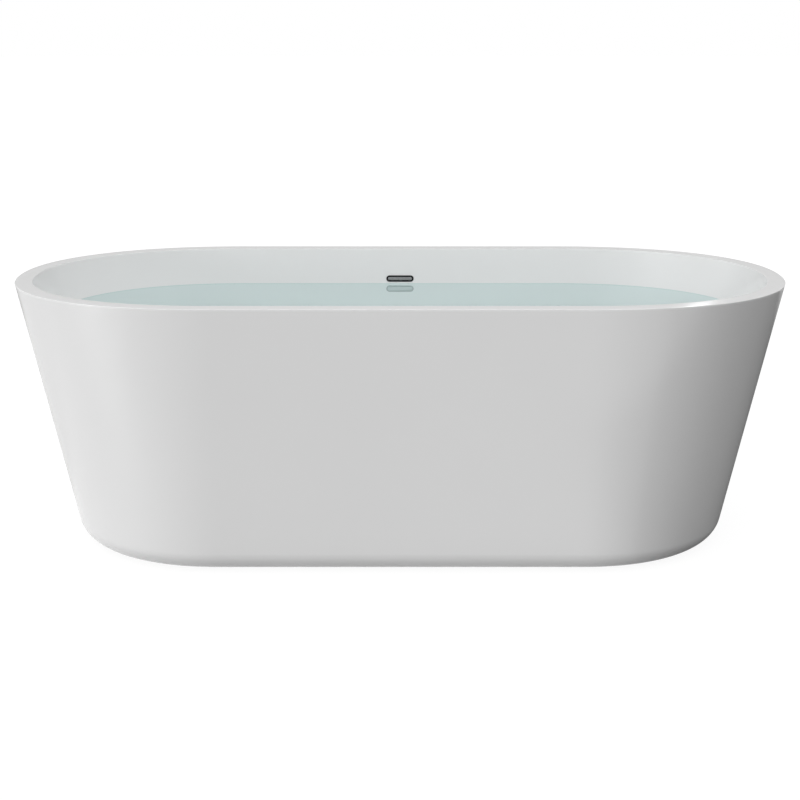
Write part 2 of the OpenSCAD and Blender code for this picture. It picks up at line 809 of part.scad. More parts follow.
module overflow_screws() {
    length = web_height + frame_screw_bite;
    color("silver") on_back_wall() for (x = [-1, 1] * frame_screw_place)
        translate([x, 0, -frame_depth + web_height]) rotate([180, 0, 0])
            pan_screw(frame_screw_d, length, frame_screw_head);
}

module overflow_gasket() {
    color("black") on_back_wall() translate([0, 0, housing_front])
        linear_extrude(gasket_height) difference() {
            square([housing_w, housing_h], center = true);
            pill(hole_w, hole_h);
        }
}

module overflow_housing() {
    inner_w = housing_w - 2 * housing_wall;
    inner_h = housing_h - 2 * housing_wall;
    post = 6;
    front_skin = frame_depth - basin_wall - gasket_height;
    color("dimgray") on_back_wall() difference() {
        union() {
            difference() {
                translate([-housing_w / 2, -housing_h / 2, housing_front - housing_depth])
                    cube([housing_w, housing_h, housing_depth]);
                translate([-inner_w / 2, -inner_h / 2, housing_front - housing_depth + housing_wall])
                    cube([inner_w, inner_h, housing_depth - housing_wall - front_skin]);
                translate([0, 0, housing_front - front_skin - past])
                    linear_extrude(front_skin + 2 * past) pill(hole_w, hole_h);
            }
            for (x = [-1, 1] * frame_screw_place)
                translate([x, 0, housing_front - housing_depth + housing_wall / 2])
                    cylinder(h = housing_depth - front_skin - housing_wall / 2, d = post);
            translate([0, spigot_top + housing_wall, -pipe_depth]) rotate([90, 0, 0])
                cylinder(h = pipe_lap + housing_wall, d = pipe_d - 2 * pipe_wall - 2 * running_fit);
        }
        for (x = [-1, 1] * frame_screw_place)
            translate([x, 0, housing_front - front_skin - 2 * post])
                cylinder(h = 2 * post + past, d = frame_screw_d + 2 * running_fit);
        translate([0, spigot_top + housing_wall + past, -pipe_depth]) rotate([90, 0, 0])
            cylinder(h = pipe_lap + housing_wall + 2 * past,
                     d = pipe_d - 2 * pipe_wall - 2 * housing_wall);
    }
}

// Place of the pipe's middle at its top end, and of the centre of its bend
pipe_top_y = overflow_y + pipe_depth * cos(basin_side_lean) + spigot_top * sin(basin_side_lean);
pipe_top_z = overflow_z - pipe_depth * sin(basin_side_lean) + spigot_top * cos(basin_side_lean);
bend_z = pipe_z + pipe_bend;
bend_start_z = bend_z - pipe_bend * sin(basin_side_lean);
bend_start_y = pipe_top_y - (pipe_top_z - bend_start_z) * tan(basin_side_lean);
bend_y = bend_start_y - pipe_bend * cos(basin_side_lean);
down_length = (pipe_top_z - bend_start_z) / cos(basin_side_lean);

// Places of the ends of the elbow's bend, with Z along the pipe and away from the bend
module at_bend_top() {
    translate([0, bend_start_y, bend_start_z]) rotate([-basin_side_lean, 0, 0]) children();
}

module at_bend_foot() {
    translate([0, bend_y, pipe_z]) rotate([90, 0, 0]) children();
}

module bend_sweep(d, spare_turn = 0) {
    translate([0, bend_y, bend_z]) rotate([0, 90, 0]) rotate([0, 0, -spare_turn])
        rotate_extrude(angle = 90 - basin_side_lean + 2 * spare_turn)
            translate([pipe_bend, 0]) circle(d = d);
}

module overflow_elbow() {
    lap = 3;
    socket_d = pipe_d + 2 * elbow_wall;
    color("gainsboro") difference() {
        union() {
            bend_sweep(pipe_d);
            at_bend_top() translate([0, 0, -lap]) cylinder(h = elbow_socket + lap, d = socket_d);
            at_bend_foot() translate([0, 0, -lap]) cylinder(h = elbow_socket + lap, d = socket_d);
        }
        bend_sweep(pipe_d - 2 * pipe_wall, 1);
        at_bend_top() cylinder(h = elbow_socket + past, d = pipe_d + 2 * running_fit);
        at_bend_foot() cylinder(h = elbow_socket + past, d = pipe_d + 2 * running_fit);
    }
}

module overflow_pipe() {
    color("gainsboro") at_bend_top() flat_ring(pipe_d, pipe_d - 2 * pipe_wall, down_length);
}

module cross_pipe() {
    color("gainsboro") at_bend_foot()
        flat_ring(pipe_d, pipe_d - 2 * pipe_wall, bend_y - inlet_end + socket_depth);
}

module at_inlet() {
    translate([0, inlet_end, pipe_z]) rotate([90, 0, 0]) children();
}

module inlet_washer() {
    color("black") at_inlet() translate([0, 0, -washer_height])
        flat_ring(inlet_d, pipe_d + 2 * running_fit, washer_height);
}

module inlet_nut() {
    color("gainsboro") at_inlet() slip_nut(inlet_d, pipe_d, socket_depth - thread_spare);
}

basin_shell();
outer_skirt();
rim_battens();
support_board();
frame_rails();
frame_crossbars();
rail_caps();
board_screws();
skirt_brackets();
bracket_bolts();
bracket_screws();
weld_nuts();
lock_nuts();
foot_stud(foot_places[0]);  // foot_stud_1
foot_stud(foot_places[1]);  // foot_stud_2
foot_stud(foot_places[2]);  // foot_stud_3
foot_stud(foot_places[3]);  // foot_stud_4
foot_pad(foot_places[0]);  // foot_pad_1
foot_pad(foot_places[1]);  // foot_pad_2
foot_pad(foot_places[2]);  // foot_pad_3
foot_pad(foot_places[3]);  // foot_pad_4
drain_flange();
flange_seal();
body_seal();
drain_body();
tail_washer();
tail_nut();
tail_pipe();
click_sleeve();
click_spring();
stopper_stem();
stopper_cap();
stopper_seal();
overflow_frame();
overflow_plate();
overflow_screws();
overflow_gasket();
overflow_housing();
overflow_pipe();
overflow_elbow();
cross_pipe();
inlet_washer();
inlet_nut();
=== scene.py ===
import json
import math

import bmesh
import bpy
from mathutils import Matrix, Vector


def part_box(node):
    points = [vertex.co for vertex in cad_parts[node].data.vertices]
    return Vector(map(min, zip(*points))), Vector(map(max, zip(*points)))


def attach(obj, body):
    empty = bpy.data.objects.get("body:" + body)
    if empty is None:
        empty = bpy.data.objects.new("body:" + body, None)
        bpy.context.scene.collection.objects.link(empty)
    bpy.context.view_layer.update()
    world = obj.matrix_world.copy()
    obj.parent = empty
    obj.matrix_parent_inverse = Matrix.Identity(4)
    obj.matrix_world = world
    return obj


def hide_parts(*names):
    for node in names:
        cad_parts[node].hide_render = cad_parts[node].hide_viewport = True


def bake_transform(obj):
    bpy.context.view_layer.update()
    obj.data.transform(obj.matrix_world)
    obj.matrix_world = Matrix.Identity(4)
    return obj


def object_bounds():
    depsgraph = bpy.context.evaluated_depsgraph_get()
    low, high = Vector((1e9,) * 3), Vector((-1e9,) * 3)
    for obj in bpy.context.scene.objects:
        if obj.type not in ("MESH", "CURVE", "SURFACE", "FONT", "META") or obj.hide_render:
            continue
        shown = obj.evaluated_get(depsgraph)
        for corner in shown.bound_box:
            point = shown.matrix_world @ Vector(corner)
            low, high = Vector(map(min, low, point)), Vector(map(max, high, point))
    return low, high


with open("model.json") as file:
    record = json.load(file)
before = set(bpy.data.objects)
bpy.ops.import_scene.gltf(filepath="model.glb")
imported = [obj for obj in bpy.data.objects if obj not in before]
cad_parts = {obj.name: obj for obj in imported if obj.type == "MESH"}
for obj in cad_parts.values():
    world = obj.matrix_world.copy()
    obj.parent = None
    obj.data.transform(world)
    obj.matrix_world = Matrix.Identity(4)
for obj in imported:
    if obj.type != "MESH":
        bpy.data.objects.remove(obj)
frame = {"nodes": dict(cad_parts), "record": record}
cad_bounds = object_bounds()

bl_info = {
    "name": "Freestanding soaking bathtub",
    "version": (1, 0, 0),
    "blender": (4, 5, 0),
    "location": "View3D > Sidebar > Bathtub",
    "description": "Forms and finishes an oval two-shell tub, its waste, overflow, frame and feet",
    "category": "Object",
}

CAD_LOW, CAD_HIGH = cad_bounds
FIT = 0.0003  # gap between pieces that fit into each other
VENEER = 0.0026  # thickness of one layer of the plywood
SHARP = math.radians(32)  # an edge that turns more than this stays sharp
MERGE = 1e-7  # points nearer than this become one
NOISE_LOW, NOISE_HIGH = 0.3, 0.7  # between these lies nearly all of a noise
FINISH_PREFIX = "bath_"
WHITE = (1.0, 1.0, 1.0, 1.0)


# Properties


def length(label, words, default):
    return bpy.props.FloatProperty(name=label, description=words, default=default, min=0.0,
                                   unit="LENGTH", subtype="DISTANCE", precision=4)


def angle(label, words, degrees):
    return bpy.props.FloatProperty(name=label, description=words, default=math.radians(degrees),
                                   unit="ROTATION", subtype="ANGLE")


def amount(label, words, default):
    return bpy.props.FloatProperty(name=label, description=words, default=default, min=0.0)


def count(label, words, default):
    return bpy.props.IntProperty(name=label, description=words, default=default, min=3)


def colour(label, words, default):
    return bpy.props.FloatVectorProperty(name=label, description=words, default=default, size=3,
                                         min=0.0, max=1.0, subtype="COLOR")


class BathShellSizes(bpy.types.PropertyGroup):
    """Sizes of the basin and the skirt, as the construction gives them"""

    tub_length: length("Length", "Length over the rim", CAD_HIGH.x - CAD_LOW.x)
    tub_width: length("Width", "Width over the rim", CAD_HIGH.y - CAD_LOW.y)
    tub_height: length("Height", "Height from the floor to the top of the rim", CAD_HIGH.z)
    straight_side: length("Straight side", "Length of the straight part of a long side", 0.772)
    end_fullness: amount("End fullness", "Fullness of the round ends, where 2 is an ellipse", 2.15)
    rim_width: length("Rim width", "Width of the flat rim", 0.035)
    rim_thickness: length("Rim thickness", "Thickness of the rim", 0.006)
    rim_edge_radius: length("Rim edge", "Rounding of the rim's outer edge", 0.001)
    rim_inner_radius: length("Rim inner edge", "Rounding of the rim's inner edge", 0.003)
    rim_ease: length("Rim ease", "Rounding of the inner edge as the photograph shows it", 0.001)
    skirt_wall: length("Skirt wall", "Thickness of the skirt", 0.005)
    skirt_end_taper: length("End taper", "How far each end has drawn in at the floor", 0.118)
    skirt_side_taper: length("Side taper", "How far each side has drawn in at the floor", 0.030)
    skirt_bottom_radius: length("Skirt rounding", "Rounding where the skirt turns under", 0.049)
    skirt_floor_gap: length("Floor gap", "Gap between the skirt and the floor", 0.003)
    return_width: length("Return", "Width of the flat return under the skirt", 0.030)
    bond_flange_width: length("Bond flange", "Width of the skirt's flange under the rim", 0.026)
    basin_wall: length("Basin wall", "Thickness of the basin wall", 0.006)
    floor_height: length("Basin floor", "Height of the basin floor around the waste", 0.148)
    floor_fall: length("Floor fall", "Fall of the basin floor towards the waste", 0.004)
    floor_thickness: length("Floor thickness", "Thickness of the floor at the waste", 0.008)
    end_lean: angle("End lean", "Slope of the basin's ends from upright", 22)
    side_lean: angle("Side lean", "Slope of the basin's sides from upright", 7)
    bottom_radius: length("Basin rounding", "Rounding between the walls and the floor", 0.090)
    end_steps: count("End steps", "Steps of the plan curve in a quarter turn of an end", 44)
    side_steps: count("Side steps", "Steps of the plan curve along a straight side", 24)


class BathTrimSizes(bpy.types.PropertyGroup):
    """Sizes of the overflow and the waste"""

    overflow_below_rim: length("Overflow drop", "From the rim down to the overflow", 0.073)
    overflow_width: length("Overflow width", "Width of the overflow's face", 0.068)
    overflow_height: length("Overflow height", "Height of the overflow's face", 0.016)
    overflow_lip: length("Overflow lip", "Width of the lip outside the slot", 0.0015)
    overflow_gap: length("Overflow gap", "Gap round the plate for the water", 0.0015)
    frame_wall: length("Frame wall", "Wall of the overflow frame", 0.001)
    frame_depth: length("Frame depth", "Depth of the overflow frame behind the face", 0.010)
    plate_height: length("Plate thickness", "Thickness of the overflow plate", 0.002)
    flange_d: length("Flange diameter", "Diameter of the waste flange", 0.071)
    throat_d: length("Throat diameter", "Outer diameter of the waste's throat", 0.042)
    cap_d: length("Cap diameter", "Diameter of the stopper cap", 0.062)
    recess_depth: length("Waste recess", "Depth of the recess for the waste flange", 0.004)
    throat_wall: length("Throat wall", "Wall of the waste's throat", 0.0025)
    seat_d: length("Seat diameter", "Diameter of the stopper's seat", 0.056)
    hub_d: length("Hub diameter", "Diameter of the hub that carries the click mechanism", 0.016)
    nipple_d: length("Nipple diameter", "Diameter of the nipple in the hub", 0.008)
    spoke_width: length("Spoke width", "Width of the hub's three spokes", 0.003)
    spoke_top: length("Spoke top", "Height of the top of the spokes", 0.114)
    spring_wire: length("Spring wire", "Diameter of the spring's wire", 0.001)
    spigot_d: length("Spigot diameter", "Outer diameter of the waste's threaded outlet", 0.0461)
    tail_d: length("Tail diameter", "Outer diameter of the tail pipe", 0.0381)
    inlet_d: length("Inlet diameter", "Outer diameter of the waste's side inlet", 0.038)
    overflow_pipe_d: length("Overflow pipe", "Outer diameter of the overflow pipe", 0.028)


class BathFrameSizes(bpy.types.PropertyGroup):
    """Sizes of the feet and the fasteners"""

    stud_d: length("Stud diameter", "Diameter of a foot's stud", 0.012)
    thread_pitch: length("Thread pitch", "Pitch of the studs' thread", 0.00175)
    key_base: length("Key base", "Height of the lower edge of the stud's hexagon", 0.018)
    key_top: length("Key top", "Height of the upper edge of the stud's hexagon", 0.026)
    key_flats: length("Key flats", "Width over the flats of the stud's hexagon", 0.0135)
    nut_flats: length("Nut flats", "Width over the flats of the nuts", 0.019)
    pad_height: length("Pad height", "Height of the pad's shoulder", 0.012)
    pad_neck_d: length("Pad neck", "Diameter of the pad's neck", 0.022)
    board_screw_d: length("Board screws", "Diameter of the screws in the board", 0.005)
    bracket_screw_d: length("Bracket screws", "Diameter of the brackets' screws and bolts", 0.004)
    head_height: length("Head height", "Height of the screws' heads", 0.003)


class BathStudio(bpy.types.PropertyGroup):
    """Camera, light, floor and water"""

    camera_distance: length("Camera distance", "From the tub's middle to the camera", 3.0473)
    camera_height: length("Camera height", "Height of the camera over the floor", 1.1586)
    camera_tilt: angle("Camera tilt", "How far the camera looks down", 15.963)
    camera_lens: amount("Lens", "Focal length in millimetres", 61.998)
    key_turn: angle("Key turn", "Turn of the key lamp to the left of the front", 59.5)
    key_rise: angle("Key rise", "Height of the key lamp over the horizon", -6.3)
    key_strength: amount("Key strength", "Strength of the key lamp", 1.51)
    key_softness: angle("Key softness", "Width of the key lamp as the tub sees it", 32)
    fill_turn: angle("Fill turn", "Turn of the fill lamp to the left of the front", 38)
    fill_rise: angle("Fill rise", "Height of the fill lamp over the horizon", 31)
    fill_strength: amount("Fill strength", "Strength of the fill lamp", 0.48)
    fill_softness: angle("Fill softness", "Width of the fill lamp as the tub sees it", 40)
    side_turn: angle("Side turn", "Turn of the side lamp to the left of the front", -60)
    side_rise: angle("Side rise", "Height of the side lamp over the horizon", 46)
    side_strength: amount("Side strength", "Strength of the side lamp", 0.31)
    side_softness: angle("Side softness", "Width of the side lamp as the tub sees it", 60)
    sky: amount("Sky", "Strength of the light from above", 1.20)
    back_card: amount("Back card", "Grey of the card behind the tub that the rim reflects", 0.36)
    floor_card: amount("Floor card", "Grey of the floor card that the right end reflects", 0.08)
    left_card: amount("Left card", "Grey of the floor card that the left end reflects", 0.85)
    strip_glow: amount("Strip glow", "Strength of the strip light that the rim reflects", 6.0)
    floor_colour: colour("Floor", "Colour of the studio floor", (0.12, 0.12, 0.12))
    water_level: length("Water level", "Height of the water surface", 0.4943)
    water_colour: colour("Water", "Tint of the water", (0.545, 0.765, 0.76))


class BathColours(bpy.types.PropertyGroup):
    """Colours of the finishes"""

    acrylic: colour("Acrylic", "The two shells", (0.878, 0.878, 0.878))
    plywood: colour("Plywood", "Board and battens", (0.62, 0.43, 0.25))
    frame_paint: colour("Frame paint", "Powder coat of the frame", (0.045, 0.047, 0.05))
    zinc_steel: colour("Zinc", "Screws, brackets and feet", (0.60, 0.61, 0.62))
    black_plastic: colour("Black plastic", "Caps and pads", (0.02, 0.02, 0.022))
    waste_plastic: colour("Waste plastic", "Waste body, nuts and pipes", (0.78, 0.78, 0.76))
    rubber: colour("Rubber", "Seals and washers", (0.018, 0.018, 0.018))
    chrome: colour("Chrome", "Plated metal", (0.34, 0.345, 0.35))
    dark_chrome: colour("Dark chrome", "Overflow frame", (0.012, 0.014, 0.015))
    brass: colour("Brass", "Click mechanism", (0.72, 0.50, 0.20))


# Finishes


class Nodes:
    """A node tree, with short ways to add nodes and to feed their sockets"""

    def __init__(self, owner):
        owner.use_nodes = True
        self.tree = owner.node_tree

    def link(self, source, target):
        self.tree.links.new(source, target)

    def feed(self, node, values):
        """Gives each socket named a plain value, or links it to the socket that is its value"""
        for name, value in values.items():
            if isinstance(value, bpy.types.NodeSocket):
                self.link(value, node.inputs[name])
            else:
                node.inputs[name].default_value = value
        return node

    def add(self, kind, values=None, **settings):
        node = self.tree.nodes.new(kind)
        for name, value in settings.items():
            setattr(node, name, value)
        return self.feed(node, values or {})

    def math(self, operation, *terms):
        return self.add("ShaderNodeMath", dict(enumerate(terms)), operation=operation).outputs[0]

    def split(self, vector):
        return self.add("ShaderNodeSeparateXYZ", {0: vector}).outputs

    def blend(self, share, first, second):
        """Shader that goes from the first to the second one"""
        return self.add("ShaderNodeMixShader", {0: share, 1: first, 2: second}).outputs[0]


class Finish(Nodes):
    """One procedural material, made from the object's own coordinates"""

    def __init__(self, name):
        super().__init__(bpy.data.materials.new(FINISH_PREFIX + name))
        self.shader = self.tree.nodes["Principled BSDF"]
        self.place = self.add("ShaderNodeTexCoord").outputs["Object"]

    def set(self, **values):
        self.feed(self.shader, {name.replace("_", " "): value for name, value in values.items()})

    def noise(self, scale, detail=2.0, stretch=(1.0, 1.0, 1.0), roughness=0.5):
        mapping = self.add("ShaderNodeMapping", {"Vector": self.place, "Scale": stretch})
        return self.add("ShaderNodeTexNoise", {
            "Vector": mapping.outputs["Vector"], "Scale": scale, "Detail": detail,
            "Roughness": roughness}).outputs["Fac"]

    def range(self, factor, low, high):
        return self.add("ShaderNodeMapRange", {
            "Value": factor, "From Min": NOISE_LOW, "From Max": NOISE_HIGH,
            "To Min": low, "To Max": high}).outputs["Result"]

    def colours(self, factor, *stops):
        """Colour ramp with stops of (place, colour)"""
        node = self.add("ShaderNodeValToRGB", {"Fac": factor})
        elements = node.color_ramp.elements
        while len(elements) < len(stops):
            elements.new(0.5)
        for element, (place, rgb) in zip(elements, stops):
            element.position = place
            element.color = (*rgb, 1.0)
        return node.outputs["Color"]

    def bump(self, height, depth):
        """Bump of a given depth in metres"""
        self.set(Normal=self.add("ShaderNodeBump",
                                 {"Distance": depth, "Height": height}).outputs["Normal"])

    def tinted(self, factor, rgb, spread):
        """Base colour that wanders a little to both sides of the colour given"""
        low = [max(0.0, c * (1 - spread)) for c in rgb]
        high = [min(1.0, c * (1 + spread)) for c in rgb]
        self.set(Base_Color=self.colours(factor, (NOISE_LOW, low), (NOISE_HIGH, high)))

    def worn(self, noise, low, high):
        """Roughness that wanders between two values"""
        self.set(Roughness=self.range(noise, low, high))

    def surface(self, rgb, tint, rough, relief):
        """Colour, roughness and bump, each from a noise: its scale, its detail and what it does"""
        self.tinted(self.noise(*tint[:2]), rgb, tint[2])
        self.worn(self.noise(*rough[:2]), *rough[2:])
        self.bump(self.noise(*relief[:2]), relief[2])


def acrylic(finish, rgb):
    finish.set(IOR=1.49, Specular_IOR_Level=0.5)
    finish.surface(rgb, (3.0, 2.0, 0.006), (18.0, 2.0, 0.17, 0.21), (30.0, 1.0, 0.00002))


def plywood(finish, rgb):
    """Veneers lie across each other, so an edge shows thin bands"""
    fine, long, seam_depth = 14.0, 0.6, 0.35
    height = finish.split(finish.place)["Z"]
    share = finish.math("PINGPONG", finish.math("MULTIPLY", height, 1 / (2 * VENEER)), 0.5)
    along, across = [finish.noise(9.0, 6.0, stretch, 0.6)
                     for stretch in ((long, fine, fine), (fine, long, fine))]
    grain = finish.add("ShaderNodeMix", {0: finish.math("GREATER_THAN", share, 0.25), 2: along,
                                         3: across}, data_type="FLOAT").outputs[0]
    dark, pale = [c * 0.6 for c in rgb], [min(1.0, c * 1.25) for c in rgb]
    shade = finish.colours(grain, (0.32, dark), (0.5, rgb), (0.72, pale))
    glue = finish.colours(share, (0.0, (0.35, 0.3, 0.25)), (0.5, (1.0, 1.0, 1.0)))
    seam = finish.add("ShaderNodeMix", {0: seam_depth, 6: shade, 7: glue}, data_type="RGBA",
                      blend_type="MULTIPLY")
    finish.set(Base_Color=seam.outputs[2])
    finish.worn(grain, 0.75, 0.55)
    finish.bump(grain, 0.0003)


def frame_paint(finish, rgb):
    finish.set(Specular_IOR_Level=0.45)
    finish.surface(rgb, (60.0, 2.0, 0.15), (120.0, 2.0, 0.38, 0.55), (900.0, 3.0, 0.00008))


def zinc_steel(finish, rgb):
    finish.set(Metallic=1.0)
    finish.surface(rgb, (45.0, 4.0, 0.18), (80.0, 5.0, 0.22, 0.42), (700.0, 2.0, 0.00002))


def black_plastic(finish, rgb):
    finish.surface(rgb, (40.0, 2.0, 0.2), (90.0, 2.0, 0.42, 0.56), (1400.0, 2.0, 0.00004))


def waste_plastic(finish, rgb):
    finish.surface(rgb, (25.0, 2.0, 0.025), (60.0, 2.0, 0.28, 0.4), (300.0, 2.0, 0.00003))


def rubber(finish, rgb):
    finish.surface(rgb, (70.0, 2.0, 0.3), (150.0, 2.0, 0.65, 0.85), (1200.0, 3.0, 0.00005))


def chrome(finish, rgb):
    finish.set(Metallic=1.0)
    finish.tinted(finish.noise(30.0), rgb, 0.03)
    brushed = finish.noise(260.0, 4.0, (0.06, 1.0, 1.0))
    finish.worn(brushed, 0.12, 0.24)
    finish.bump(brushed, 0.00001)


def dark_chrome(finish, rgb):
    finish.set(Specular_IOR_Level=0.3)
    finish.surface(rgb, (60.0, 2.0, 0.25), (200.0, 2.0, 0.2, 0.32), (900.0, 2.0, 0.00001))


def brass(finish, rgb):
    finish.set(Metallic=1.0)
    finish.tinted(finish.noise(50.0, 3.0), rgb, 0.12)
    turned = finish.noise(500.0, 2.0, (0.05, 0.05, 1.0))
    finish.worn(turned, 0.2, 0.36)
    finish.bump(turned, 0.00002)


FINISH_MAKERS = (acrylic, plywood, frame_paint, zinc_steel, black_plastic, waste_plastic, rubber,
                 chrome, dark_chrome, brass)


def finish_named(slot):
    return bpy.data.materials[FINISH_PREFIX + slot]


# Meshes


def skin(rings, loop=False, capped=False):
    """Mesh through rings of equally many points; a cap closes its first and its last ring"""
    size, last = len(rings[0]), len(rings) - 1
    pairs = [(k, k + 1) for k in range(last)] + ([(last, 0)] if loop else [])
    faces = [(low * size + j, low * size + (j + 1) % size, high * size + (j + 1) % size,
              high * size + j) for low, high in pairs for j in range(size)]
    if capped:
        faces += [range(size), range(last * size, (last + 1) * size)]
    shape = bmesh.new()
    vertices = [shape.verts.new(point) for ring in rings for point in ring]
    for face in faces:
        shape.faces.new([vertices[i] for i in face])
    bmesh.ops.remove_doubles(shape, verts=shape.verts, dist=MERGE)
    bmesh.ops.recalc_face_normals(shape, faces=shape.faces)
    return shape


def placed(shape, matrix):
    bmesh.ops.transform(shape, matrix=matrix, verts=shape.verts)
    return shape


def mesh_of(name, shapes):
    """One mesh of bmesh shapes, which it uses up"""
    mesh = bpy.data.meshes.new(name)
    whole = bmesh.new()
    for shape in shapes:
        shape.to_mesh(mesh)
        shape.free()
        whole.from_mesh(mesh)
    whole.to_mesh(mesh)
    whole.free()
    return mesh


def shade_mesh(mesh):
    mesh.shade_smooth()
    mesh.set_sharp_from_angle(angle=SHARP)


def link_object(name, data):
    obj = bpy.data.objects.new(name, data)
    bpy.context.scene.collection.objects.link(obj)
    return obj


def piece(name, shapes, slot, body="tub", stands_for=()):
    """A new piece of the tub from one or more bmesh shapes, with its finish, on its body"""
    mesh = mesh_of(name, shapes)
    shade_mesh(mesh)
    mesh.materials.append(finish_named(slot))
    obj = link_object(name, mesh)
    if body:
        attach(obj, body)
    if stands_for:
        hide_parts(*stands_for)
    return obj


def cut(obj, shape):
    """Takes a shape out of the object's mesh"""
    cutter = link_object("cutter", mesh_of("cutter", [shape]))
    modifier = obj.modifiers.new("cut", "BOOLEAN")
    modifier.operation = "DIFFERENCE"
    modifier.solver = "EXACT"
    modifier.object = cutter
    bpy.context.view_layer.update()
    graph = bpy.context.evaluated_depsgraph_get()
    mesh = bpy.data.meshes.new_from_object(obj.evaluated_get(graph))
    obj.modifiers.clear()
    obj.data = mesh
    shade_mesh(mesh)
    bpy.data.objects.remove(cutter)


def polar(radius, turn, z):
    return Vector((radius * math.cos(turn), radius * math.sin(turn), z))


def circle_ring(radius, z, steps):
    return [polar(radius, math.tau * i / steps, z) for i in range(steps)]


def lathe(profile, steps, loop=True):
    """Turned shape from a profile of (radius, height)"""
    return skin([circle_ring(max(r, 1e-5), z, steps) for r, z in profile], loop)


def arc(radius, first, last, steps):
    """Points of an arc round the origin between two angles in degrees"""
    turns = [math.radians(first + (last - first) * i / steps) for i in range(steps + 1)]
    return [(radius * math.cos(t), radius * math.sin(t)) for t in turns]


def pill_ring(width, height, z, steps=16):
    """Outline of a slot with round ends, anticlockwise, in its own plane"""
    reach = (width - height) / 2
    return [Vector((side * reach + x, y, z)) for side, first in ((1, -90), (-1, 90))
            for x, y in arc(height / 2, first, first + 180, steps)]


# Shell formulas, as in the construction apart from the sharper inner edge of the rim


def plan_ring(sizes, z, a, b, s, fullness=None):
    """Ring of the plan curve at height z, anticlockwise from the tip of the right end.

    The straight sides are 2 * s long, and the ends reach a beyond them and b to each side."""
    power = 2 / (fullness or sizes.end_fullness)
    turns = [math.pi / 2 * i / sizes.end_steps for i in range(sizes.end_steps + 1)]
    quarter = [(s + a * math.cos(t) ** power if t < math.pi / 2 - 1e-9 else s,
                b * math.sin(t) ** power) for t in turns]
    side = [s - 2 * s * j / sizes.side_steps for j in range(1, sizes.side_steps)]
    ring = quarter + [(x, b) for x in side]
    ring += [(-x, y) for x, y in reversed(quarter)]
    ring += [(-x, -y) for x, y in quarter[1:]]
    ring += [(-x, -b) for x in side]
    ring += [(x, -y) for x, y in reversed(quarter[1:])]
    return [Vector((x, y, z)) for x, y in ring]


def wall_reach(z, top, top_z, lean, base, r):
    """Reach at height z of a leaning wall that is rounded onto its level base"""
    foot = top - (top_z - base) * math.tan(lean)
    centre = foot + r * math.tan(lean) - r / math.cos(lean)
    if z >= base + r * (1 - math.sin(lean)):
        return top - (top_z - z) * math.tan(lean)
    return centre + math.sqrt(max(0.0, r * r - (base + r - z) ** 2))


def round_heights(base, r, lean, steps):
    last = math.pi / 2 - lean
    return [base + r * (1 - math.cos(last * i / steps)) for i in range(steps + 1)]


def spaced(first, last, steps):
    """Values after first, up to and with last"""
    return [first + (last - first) * i / steps for i in range(1, steps + 1)]


